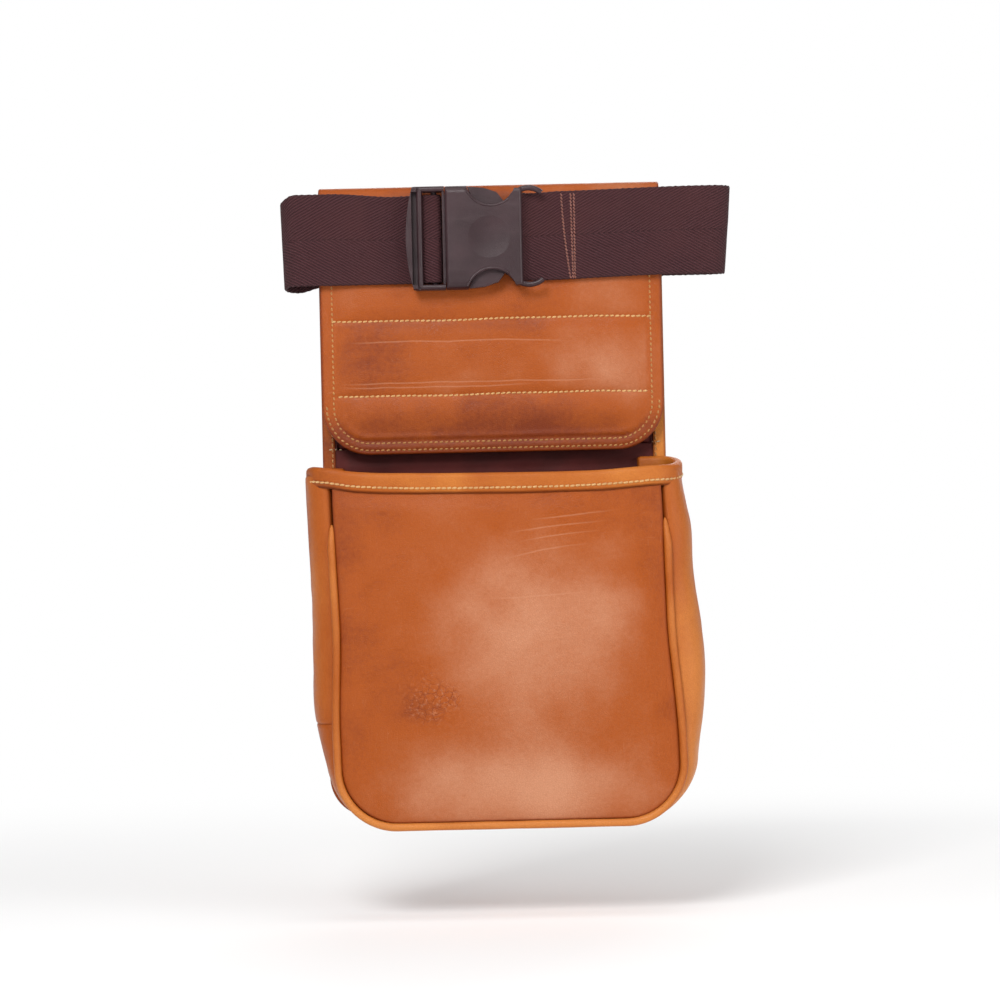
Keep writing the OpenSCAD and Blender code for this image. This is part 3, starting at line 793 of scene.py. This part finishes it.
def front_painted_light_and_tone(x, z):
    """Saturated orange near the edges as painted shade, pink-tan over the crown as painted highlight."""
    d = round_sdf(x - bag_centre(z), z, bag_half(z), FRONT_BOTTOM, FRONT_R)
    t = .43 + .08 * noise(x, z, 36, 51) + .06 * noise(x, z, 16, 52)
    # pink-tan painted highlights over the crown, low down and at the upper right wrinkles
    t = t + .46 * spot(x - 10, z + 228, 58, 50)
    t = t + .50 * spot(x - 10, z + 314, 74, 26)
    t = t + .08 * spot(x - 46, z + 176, 26, 16)
    t = t - .20 * spot(x + 42, z + 262, 28, 22)
    # painted highlight on the right
    t = t + .10 * spot(x - 60, z + 215, 16, 40)
    # painted shade near the side seams
    return t - .10 * smooth(22, 3, d) * smooth(-318, -290, z)


rows_v = np.concatenate([np.linspace(0, .8, 3)[:-1], np.linspace(.8, FRONT_TALL - FRONT_R, 96),
                         FRONT_TALL - FRONT_R + FRONT_R * np.sin(np.linspace(0, math.pi / 2, 28))[1:]])
u_x = edge_steps(2, .019, .012) - 1
U, V = np.meshgrid(u_x, rows_v / rows_v[-1], indexing="ij")
top = rim_z(U * 92) - 2.0
Z = top + (FRONT_BOTTOM - top) * V
low = np.clip((FRONT_BOTTOM + FRONT_R - Z) / FRONT_R, 0, 1)
half = bag_half(Z) - FRONT_R * (1 - np.sqrt(np.clip(1 - low ** 2, 0, 1)))
X = bag_centre(Z) + U * half
sdf = np.minimum(round_sdf(X - bag_centre(Z), Z, bag_half(Z), FRONT_BOTTOM, FRONT_R), top - Z)
Y = front_depth(X, Z) + LEATHER / 2
front_leather = shell("front_leather", np.stack([X, Y, Z], 2),
                      LEATHER * rounding(np.maximum(sdf, 0), 1.0), leather_front,
                      {"tone_and_painted_light": front_painted_light_and_tone(X, Z), "edge": sdf})
front_cloth = flat_sheet("front_cloth", -86, 88, FRONT_BOTTOM + 8, -141,
                         lambda x, z: FRONT_HI[1] + 1.6 - .5 * noise(x, z, 24, 45), CLOTH_T, nylon, 5)


def seam_path(z_start, n_side=70, n_corner=26, n_bottom=60):
    """Points and outward normals of the front seam, down the left, round the bottom, up the right."""
    corner_z = FRONT_BOTTOM + FRONT_R
    mid, half_w = bag_centre(corner_z), bag_half(corner_z)
    down = np.linspace(z_start, corner_z, n_side)[:-1]
    up = np.linspace(z_start, corner_z, n_side)[::-1][1:]

    def corner(x, start):
        a = np.linspace(start, start + math.pi / 2, n_corner)
        return x + FRONT_R * np.cos(a), corner_z + FRONT_R * np.sin(a), np.cos(a), np.sin(a)

    left, right = mid - half_w + FRONT_R, mid + half_w - FRONT_R
    parts = [(bag_centre(down) - bag_half(down), down, -1, 0), corner(left, math.pi),
             (np.linspace(left, right, n_bottom)[1:-1], FRONT_BOTTOM, 0, -1), corner(right, 1.5 * math.pi),
             (bag_centre(up) + bag_half(up), up, 1, 0)]
    both = np.concatenate([np.stack(np.broadcast_arrays(*part), 1) for part in parts])
    return both[:, :2], both[:, 2:]


def bulge(pts, nor):
    """How far the gusset stands out of the seam at each place."""
    z, right = pts[:, 1], pts[:, 0] > 0
    t = -z
    left_b = 14.9 + .8 * hump(t - 225, 26) - 8.3 * smooth(258, 314, t)
    right_b = 11.8 + 8.2 * hump(t - 232, 44) - 2.6 * smooth(262, 312, t)
    right_b = right_b + 3.2 * hump(t - 168, 20)
    side = np.where(right, right_b, left_b)
    down = np.clip(-nor[:, 1], 0, 1)
    under = smooth(0, 1, down)
    return side * (1 - under) + 4.5 * under


def back_reach(pts, nor):
    """Where the gusset meets the back panel, measured out from the front seam."""
    x, z = pts[:, 0], pts[:, 1]
    side = BACK_H - 2.5 - np.abs(x)
    down = np.clip(-nor[:, 1], 0, 1)
    return side * (1 - down) - .4 * down


g_pts, g_nor = seam_path(SEAM_TOP)
B, R = bulge(g_pts, g_nor), back_reach(g_pts, g_nor)
S, W = np.meshgrid(np.arange(len(g_pts)), np.linspace(0, 1, 30), indexing="ij")
lengths = strand(g_pts)
LEN = lengths[S]
swell = np.sin(np.pi * np.clip(W, 0, 1)) ** .62
out = B[S] * swell + R[S] * smooth(.35, 1, W)
out = out - R[S] * swell * smooth(.35, 1, W) * .9
back_y = BACK_LO[1] - 1.0
ease = W - .10 * np.sin(2 * np.pi * W)
Yg = SEAM_Y + .6 + (back_y - SEAM_Y - .6) * ease
out = out + .5 * noise(LEN, Yg, 26, 61) * swell + .15 * noise(LEN, Yg, 8, 62) * swell
near_rim = np.exp(-(np.minimum(LEN, lengths[-1] - LEN) / 16.0) ** 2)
out = out + near_rim * 1.2 * np.sin(W * 9 + 1) * swell * .5
Xg, Zg = off_path(g_pts, g_nor, S, out)
g_edge = np.minimum(np.minimum(W, 1 - W) * 60, np.minimum(LEN, lengths[-1] - LEN))
# Painted highlight in a band along the gusset's bulge, painted shade where it turns back to the back panel,
# and painted light on the right gusset, brighter lower down.
gusset_tone_and_painted_light = .46 + .14 * noise(LEN, Yg, 30, 63)
gusset_tone_and_painted_light = gusset_tone_and_painted_light + .18 * hump(W - .3, .14) - .16 * hump(W - .62, .2)
gusset_tone_and_painted_light = gusset_tone_and_painted_light + (g_pts[S][..., 0] > 0) * (.16 + .22 * smooth(-190, -250, g_pts[S][..., 1]))
P = np.stack([Xg, Yg, Zg], 2)
splice = int(np.argmin(np.abs(lengths - (SEAM_TOP - SPLICE_Z))))
gusset_skins = []
for tag, rows, cut, darker in (("left", slice(None, splice + 1), lengths[splice] - LEN, 0),
                               ("main", slice(splice - 1, None), LEN - lengths[splice - 1], .05)):
    edge = np.minimum(g_edge, cut)[rows]
    gusset_skins.append(shell("gusset_" + tag + "_skin", P[rows], LEATHER * rounding(edge, 1.0), leather_side,
                              {"tone_and_painted_light": gusset_tone_and_painted_light[rows] - darker, "edge": edge}))

w_pts, w_nor = seam_path(WELT_TOP, 60, 30)
w_len = strand(w_pts)
taper = np.clip(np.minimum(w_len, w_len[-1] - w_len) / 14.0, 0, 1)
w_r = .5 + 1.75 * np.sqrt(np.clip(taper, 0, 1)) + .08 * noise(w_len, w_len * 0, 14, 71)
w_off = 2.3 - 1.1 * (1 - taper)
ang = np.linspace(0, 2 * math.pi, 17)[:-1]
A, S = np.meshgrid(ang, np.arange(len(w_pts)), indexing="ij")
rr = w_r[S]
off = w_off[S] + rr * np.cos(A)
Xw, Zw = off_path(w_pts, w_nor, S, off)
Yw = SEAM_Y - 1.2 - rr * 1.05 * np.sin(A) + 1.4 * (1 - taper[S])
# Painted highlight on the front of the piping and along the bottom of the bag.
welt_tone_and_painted_light = .55 + .12 * noise(w_len[S], A * 4, 18, 72) + .16 * np.sin(A)
welt_tone_and_painted_light = welt_tone_and_painted_light + .25 * smooth(-300, -330, w_pts[S][..., 1])


def tube(name, P, material, extra):
    """Closed tube: P is (around, along, 3), with flat end caps."""
    na, ns = P.shape[:2]
    verts = P.reshape(-1, 3)
    faces = []
    for i in range(na):
        k = (i + 1) % na
        for j in range(ns - 1):
            faces.append([i * ns + j, i * ns + j + 1, k * ns + j + 1, k * ns + j])
    faces.append([i * ns for i in range(na)])
    faces.append([i * ns + ns - 1 for i in range(na)][::-1])
    return make_object(name, verts, faces, material,
                       {k: np.broadcast_to(v, (na, ns)).reshape(-1) for k, v in extra.items()})


welt_piping = tube("welt_piping", np.stack([Xw, Yw, Zw], 2), leather_side,
                   {"tone_and_painted_light": welt_tone_and_painted_light, "edge": 5.0})

# collar: path round the mouth in plan, then a folded section
LEFT_OUT, RIGHT_OUT = -105.4, 104.6


def mouth_path(n=150):
    """Plan of the rim, from the back left round the front to the back right."""
    ctrl = np.array([[-86, BACK_LO[1] - 3.2], [-92, BACK_LO[1] - 3.4], [-97.5, BACK_LO[1] - 5],
                     [-101.5, -17], [LEFT_OUT + .6, -27], [LEFT_OUT + 1.8, -38],
                     [-100.5, -47.5], [-92, -52.2], [-80, -53.4], [-45, -54.3], [0, -54.8], [45, -54.3],
                     [80, -53.4], [92.5, -52.2], [99.5, -47.5], [RIGHT_OUT - 1.2, -38], [RIGHT_OUT - .6, -27],
                     [101, -17], [96.5, BACK_LO[1] - 5], [91, BACK_LO[1] - 3.6],
                     [82, BACK_LO[1] - 3.2]])
    at = strand(ctrl)
    t = np.linspace(0, at[-1], n)
    k = np.clip(np.searchsorted(at, t, side="right") - 1, 0, len(ctrl) - 2)
    f = (t - at[k]) / (at[k + 1] - at[k])
    p = np.pad(ctrl, ((1, 1), (0, 0)), mode="reflect", reflect_type="odd")
    p0, p1, p2, p3 = p[k], p[k + 1], p[k + 2], p[k + 3]
    f = f[:, None]
    return .5 * (2 * p1 + (p2 - p0) * f + (2 * p0 - 5 * p1 + 4 * p2 - p3) * f ** 2
                 + (3 * p1 - p0 - 3 * p2 + p3) * f ** 3)


m_pts = mouth_path()
m_len = strand(m_pts)
tangent = np.gradient(m_pts, axis=0)
tangent /= np.linalg.norm(tangent, axis=1, keepdims=True)
m_nor = np.stack([tangent[:, 1], -tangent[:, 0]], 1)
m_x = m_pts[:, 0]
share = m_len / m_len[-1]
front_share = smooth(.14, .24, share) * smooth(.86, .76, share)
corner = smooth(.03, .20, np.minimum(share, 1 - share))
rear_z = np.where(share < .5, -130.2 + 1.0 * corner, -127.2 - 5.2 * corner)
rim_top = rim_z(m_x) * front_share + (1 - front_share) * rear_z
rim_top = rim_top + .25 * np.sin(m_len / 19.0)
COLLAR_T, WALL = 1.25, 1.5
path = [(WALL + .25, -11.2), (WALL + .45, -9), (WALL + .5, -6), (WALL + .5, -3.2)]
path += [((WALL + .5) * math.cos(a), (WALL + .5) * math.sin(a) - 2.2) for a in np.linspace(0, math.pi, 11)]
path += [(-WALL - .5, -4.5), (-WALL - .5, -7), (-WALL - .5, -9.5)]
path = np.array(path)
S, K = np.meshgrid(np.arange(len(m_pts)), np.arange(len(path)), indexing="ij")
o, dz = path[K][..., 0], path[K][..., 1]
o = o + .18 * noise(m_len[S], dz * 3, 9, 81)
Xc, Yc = off_path(m_pts, m_nor, S, o)
Zc = rim_top[S] + dz + .25 * noise(m_len[S], dz, 21, 82)
k_len = strand(path)
c_edge = np.minimum(np.minimum(k_len[K], k_len[-1] - k_len[K]),
                    np.minimum(m_len[S], m_len[-1] - m_len[S]))
# Painted shade: the collar is darker on the left and towards the lower edges of both legs.
collar_tone_and_painted_shade = .66 + .14 * noise(m_len[S], dz, 16, 83)
collar_tone_and_painted_shade = collar_tone_and_painted_shade - .30 * smooth(.34, .16, share[S]) - .12 * smooth(-8, -11, dz)
collar = shell("rim_collar", np.stack([Xc, Yc, Zc], 2), COLLAR_T * rounding(c_edge, .6), leather_trim,
               {"tone_and_painted_light": collar_tone_and_painted_shade, "edge": c_edge + .3})


def collar_row():
    o_row, dz_row = WALL + .6 + COLLAR_T / 2, -7.9
    pts = np.c_[m_pts + m_nor * o_row, rim_top + dz_row]
    nor = np.c_[m_nor, np.zeros(len(m_pts))]
    return pts[3:-3], nor[3:-3]


collar_thread = stitches("collar_thread", [collar_row()], pale_thread,
                         length=2.85, width=1.15, slant=.1, lift=.05)


strip_face = STRIP_LO[1] - .35
strip_rows = [facing(side * (STRIP_LO[0] + 1.6), strip_face, np.linspace(STRIP_LO[2] - 1, 15, 40))
              for side in (-1, 1)]
strip_thread = stitches("strip_thread", strip_rows, gold_thread)
x = np.linspace(-95.5, 96, 80)
y = np.where(np.abs(x) > STRIP_LO[0] - .2, strip_face,
             np.minimum(lining_depth(x, POCKET_SEAM_Z), LINING_LO[1] - .2) - .45)
cloth_thread = stitches("cloth_thread", [facing(x, y, POCKET_SEAM_Z + .3 * np.sin(x / 12))], beige_thread)

# belt tunnel on the back
half_t = TUNNEL_HI[0]
sec = np.array([[BACK_HI[1] + 1.05, TUNNEL_LO[2]], [BACK_HI[1] + 1.05, -32], [BACK_HI[1] + 1.3, -29.4],
                [-2.6, -27.6], [-1.25, -26.2], [-1.0, -24], [-1.0, -12], [-1.0, 0], [-1.0, 12], [-1.0, 23],
                [-1.35, 25.6], [-3.2, 27.2], [-6.3, 28.2], [-9.0, 30.2]])
at = strand(sec)
t = edge_steps(at[-1], 1.6, 1.0)
sy, sz = np.interp(t, at, sec[:, 0]), np.interp(t, at, sec[:, 1])
xs = edge_steps(2 * half_t, 4, 1.0) - half_t
Xt, K = np.meshgrid(xs, np.arange(len(t)), indexing="ij")
Yt = sy[K] + .15 * noise(Xt, sz[K], 22, 91)
d = np.minimum(half_t - np.abs(Xt), np.minimum(t[K], at[-1] - t[K]))
tunnel = shell("tunnel_leather", np.stack([Xt, Yt, sz[K]], 2)[::-1], (LEATHER * rounding(d, 1.0))[::-1],
               leather_trim, {"tone_and_painted_light": (.46 + .12 * noise(Xt, sz[K], 30, 92))[::-1], "edge": d[::-1]})
x = np.linspace(-half_t + 3, half_t - 3, 60)
tunnel_thread = stitches("tunnel_thread", [facing(x, BACK_HI[1] + 2.1, z, 1.0) for z in (-33.0, -35.5)],
                         gold_thread)

back_path = flap_outline(4.0, 16, BACK_H, BACK_R, BACK_BOTTOM)
back_face = back_depth(back_path[:, 0], back_path[:, 1]) + LEATHER / 2 + .05
back_thread = stitches("back_thread", [facing(back_path[:, 0], back_face, back_path[:, 1], 1.0)],
                       gold_thread, lift=.05)

# ---------------------------------------------------------------- belt

WEB_T = 1.6
WEB_H = RUN_L_HI[2]
RUN_Y = (RUN_L_LO[1] + RUN_L_HI[1]) / 2
TAIL_Y = (TAIL_LO[1] + TAIL_HI[1]) / 2
BACK_Y = (BACK_L_LO[1] + BACK_L_HI[1]) / 2
TURN_Y, TURN_R = (RUN_Y + BACK_Y) / 2, (BACK_Y - RUN_Y) / 2
LOOP_R = (LOOP_L_HI[1] - LOOP_L_LO[1]) / 2 - WEB_T / 2
LOOP_Y = (LOOP_L_HI[1] + LOOP_L_LO[1]) / 2
LOOP_X_L = LOOP_L_HI[0] - LOOP_R - WEB_T / 2
LOOP_X_R = LOOP_R_LO[0] + LOOP_R + WEB_T / 2


def fine_path(ctrl, step=1.5):
    """Control points (x, y) joined and resampled evenly."""
    ctrl = np.asarray(ctrl, float)
    at = strand(ctrl)
    t = np.linspace(0, at[-1], int(at[-1] / step) + 1)
    return np.stack([np.interp(t, at, ctrl[:, 0]), np.interp(t, at, ctrl[:, 1])], 1), t


def arc_points(cx, cy, r, a0, a1, n=20):
    a = np.radians(np.linspace(a0, a1, n))
    return [(cx + r * math.cos(k), cy + r * math.sin(k)) for k in a]


def belt_piece(name, ctrl, edges, seed, lean=0.0):
    """Webbing along a plan path. edges gives the lower and upper height at each place."""
    p, t = fine_path(ctrl)
    vs = edge_steps(2 * WEB_H, 1.6, WEB_T / 2) - WEB_H
    S, Vv = np.meshgrid(np.arange(len(p)), vs, indexing="ij")
    lower, upper = edges(p[:, 0], p[:, 1])
    f = (Vv + WEB_H) / (2 * WEB_H)
    Zb = lower[S] * (1 - f) + upper[S] * f
    bumps = (np.abs(Vv) > WEB_H - 1) * .16 * np.sin(t[S] * 2 * math.pi / 2.5)
    Zb = Zb + np.sign(Vv) * bumps
    tang = np.gradient(p, axis=0)
    tang /= np.maximum(np.linalg.norm(tang, axis=1, keepdims=True), 1e-9)
    nor = np.stack([-tang[:, 1], tang[:, 0]], 1)
    wave = .22 * noise(t[S], Zb * .6, 24, seed) + .10 * noise(t[S], Zb, 9, seed + 1)
    wave = wave * np.where(p[S][..., 1] > TURN_Y, .3, 1.0)
    Xb, Yb = off_path(p, nor, S, wave)
    Xb = Xb + lean * (1 - f) * smooth(60, 138, np.abs(Xb))
    d = np.minimum(WEB_H - np.abs(Vv), np.minimum(t[S], t[-1] - t[S]))
    T = WEB_T * rounding(d, WEB_T / 2)
    return shell(name, np.stack([Xb, Yb, Zb], 2), T, webbing,
                 {"pu": t[S], "pv": Vv, "edge": d, "tone_and_painted_light": .5})


def slope(x):
    """Outside the tunnel the back run hangs lower on the left and climbs on the right."""
    return 2.6 * (smooth(116, 134, x) - smooth(-97, -112, x))


def left_edges(x, y):
    back = y > TURN_Y
    depth = smooth(TURN_Y - TURN_R, TURN_Y + TURN_R, y)
    top = 24.4 + .55 * smooth(-60, -42, x) + 2.6 * smooth(-50, -92, x) - 3.9 * smooth(-110, -121, x) ** 1.6
    bottom = -25.4
    top = top * (1 - depth) + (WEB_H - .6 + slope(x)) * depth
    bottom = bottom * (1 - depth) + (-WEB_H + slope(x) * 1.2) * depth
    return bottom, top


def right_edges(x, y):
    depth = smooth(TURN_Y - TURN_R, TURN_Y + TURN_R, y)
    top = 25.0 + .7 * smooth(26, 40, x) + 1.6 * smooth(30, 120, x)
    bottom = -25.0 + 1.9 * smooth(20, 110, x)
    top = top * (1 - depth) + (WEB_H + slope(x) * .9) * depth
    bottom = bottom * (1 - depth) + (-WEB_H + 2.4 * smooth(95, 103, x)) * depth
    return bottom, top


TURN_X_L, TURN_X_R = FOLD_L_HI[0], FOLD_R_LO[0]
SPLIT_L, SPLIT_R = -72.0, BACK_R_LO[0]
left_path = [(TAIL_LO[0], TAIL_Y), (LOOP_X_L - 4, TAIL_Y)]
left_path += arc_points(LOOP_X_L + .6, LOOP_Y, LOOP_R, 90, -90, 26)
left_path += [(LOOP_X_L - 2, LOOP_Y - LOOP_R), (LOOP_X_L - 4.4, LOOP_Y - LOOP_R + .5),
              (LOOP_X_L - 6.8, LOOP_Y - LOOP_R + 1.8), (LOOP_X_L - 9.6, RUN_Y - .6),
              (LOOP_X_L - 12.5, RUN_Y), (-60, RUN_Y), (TURN_X_L, RUN_Y)]
left_path += arc_points(TURN_X_L, TURN_Y, TURN_R, -90, -270, 26)
left_path += [(-90, BACK_Y), (SPLIT_L, BACK_Y)]
belt_left = belt_piece("belt_left", left_path, left_edges, 101, 1.6)
right_path = [(SPLIT_R, BACK_Y), (TURN_X_R, BACK_Y)]
right_path += arc_points(TURN_X_R, TURN_Y, TURN_R, 90, -90, 26)
right_path += [(TURN_X_R - 2, RUN_Y), (LOOP_X_R + 5.5, RUN_Y)]
right_path += arc_points(LOOP_X_R, LOOP_Y, LOOP_R, -15, -255, 34)
right_path += [(LOOP_X_R + 4, TAIL_Y), (END_HI[0], TAIL_Y)]
belt_right = belt_piece("belt_right", right_path, right_edges, 111, -4.1)


def hidden_edges(x, y):
    return -WEB_H + slope(x), WEB_H + slope(x)


belt_hidden = belt_piece("belt_hidden", [(SPLIT_L - 2, BACK_Y), (0, BACK_Y), (SPLIT_R + 2, BACK_Y)],
                         hidden_edges, 121)

z = np.linspace(24.4, -24.4, 60)
k = (z + 24.4) / 48.8
box_rows = [facing(x_at, RUN_Y - WEB_T / 2 - .12, z)
            for x_at in (41.6 + 4.4 * (1 - k) ** 1.6, 46.9 + .5 * (1 - k), 48.8 - .3 * (1 - k))]
box_thread = stitches("box_thread", box_rows, rust_thread, pitch=1.9, length=2.2, width=.9, slant=.42)

# ---------------------------------------------------------------- what rides on what

for piece, slot_name, nodes in (
        (flap_skin, "leather", ["flap_yoke", "flap_leather", "yoke_pad", "flap_pad_upper", "flap_pad_lower"]),
        (flap_back, "nylon", ["flap_lining", "yoke_lining"]),
        (back_leather, "leather", ["back_panel"]),
        (strips[0], "leather", ["edge_strip_left"]), (strips[1], "leather", ["edge_strip_right"]),
        (back_cloth, "nylon", ["back_lining"]), (lower_cloth, "nylon", []),
        (pocket_cloth, "nylon", ["upper_pocket"]),
        (front_leather, "leather", ["front_panel"]), (front_cloth, "nylon", ["front_lining"]),
        (gusset_skins[0], "gusset_leather", ["gusset_left"]),
        (gusset_skins[1], "gusset_leather", ["gusset_main"]),
        (welt_piping, "gusset_leather", ["welt"]), (collar, "leather", ["mouth_binding"]),
        (tunnel, "leather", ["belt_tunnel"]),
        (belt_left, "webbing", ["strap_left_front", "strap_left_loop", "strap_left_tail",
                                "strap_left_fold", "strap_left_back"]),
        (belt_right, "webbing", ["strap_right_front", "strap_right_loop", "strap_right_end",
                                 "strap_right_fold", "strap_right_back"]),
        (belt_hidden, "webbing", [])):
    if nodes:
        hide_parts(*nodes)

for piece in (back_leather, *strips, back_cloth, lower_cloth, pocket_cloth, front_leather, front_cloth,
              *gusset_skins, welt_piping, collar, tunnel, collar_thread,
              strip_thread, cloth_thread, tunnel_thread, back_thread):
    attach(piece, "pouch")
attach(belt_left, "plug_half")
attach(belt_right, "socket_half")
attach(box_thread, "socket_half")
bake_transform(belt_hidden)
for piece in (flap_skin, flap_back, flap_thread, row_thread):
    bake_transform(piece)

for name in ("buckle_socket", "buckle_frame", "prong_upper", "prong_lower"):
    mats = frame["nodes"][name].data.materials
    if len(mats):
        for i in range(len(mats)):
            mats[i] = plastic
    else:
        mats.append(plastic)

# ---------------------------------------------------------------- stage and light

FLOOR_Z = cad_box[0][2] - .05
bpy.ops.mesh.primitive_plane_add(size=30, location=(0, 0, FLOOR_Z))
floor = bpy.context.object
floor.name = "floor"
f = Nodes("floor_pale")
fx, fy, _ = f.xyz()
radius = f.math("SQRT", f.math("ADD", f.math("MULTIPLY", fx, fx), f.math("MULTIPLY", fy, fy)))
glow = f.add("ShaderNodeEmission")
f.put(glow.inputs["Color"], (1, 1, 1, 1))
f.bsdf.inputs["Base Color"].default_value = (.93, .93, .93, 1)
f.bsdf.inputs["Roughness"].default_value = .9
f.bsdf.inputs["Specular IOR Level"].default_value = 0
blend_node = f.add("ShaderNodeMixShader")
f.put(blend_node.inputs[0], f.span(radius, .25, .9))
f.put(blend_node.inputs[1], f.bsdf.outputs[0])
f.put(blend_node.inputs[2], glow.outputs[0])
f.put(f.tree.nodes["Material Output"].inputs["Surface"], blend_node.outputs[0])
floor.data.materials.append(f.mat)

world = bpy.data.worlds.new("studio")
scene.world = world
world.use_nodes = True
wt = world.node_tree
ambient = wt.nodes["Background"]
ambient.inputs[0].default_value = (1, 1, 1, 1)
ambient.inputs[1].default_value = .36
shown = wt.nodes.new("ShaderNodeBackground")
shown.inputs[0].default_value = (1, 1, 1, 1)
shown.inputs[1].default_value = 1.0
seen = wt.nodes.new("ShaderNodeLightPath")
pick = wt.nodes.new("ShaderNodeMixShader")
wt.links.new(seen.outputs["Is Camera Ray"], pick.inputs[0])
wt.links.new(ambient.outputs[0], pick.inputs[1])
wt.links.new(shown.outputs[0], pick.inputs[2])
wt.links.new(pick.outputs[0], wt.nodes["World Output"].inputs["Surface"])


def area_light(name, at, aim, size, power):
    data = bpy.data.lights.new(name, "AREA")
    data.shape, data.size, data.energy = "SQUARE", size, power
    o = bpy.data.objects.new(name, data)
    o.location = at
    o.rotation_euler = (Vector(aim) - Vector(at)).to_track_quat("-Z", "Y").to_euler()
    scene.collection.objects.link(o)


area_light("key", (-.45, -1.45, .85), (0, 0, -.12), .7, 23)
area_light("fill", (1.3, -1.1, .1), (0, 0, -.18), .8, 9)
area_light("top", (.1, -.3, 1.3), (0, 0, -.1), .9, 4)
area_light("back", (.3, 1.6, .5), (0, 0, -.15), 1.2, 14)
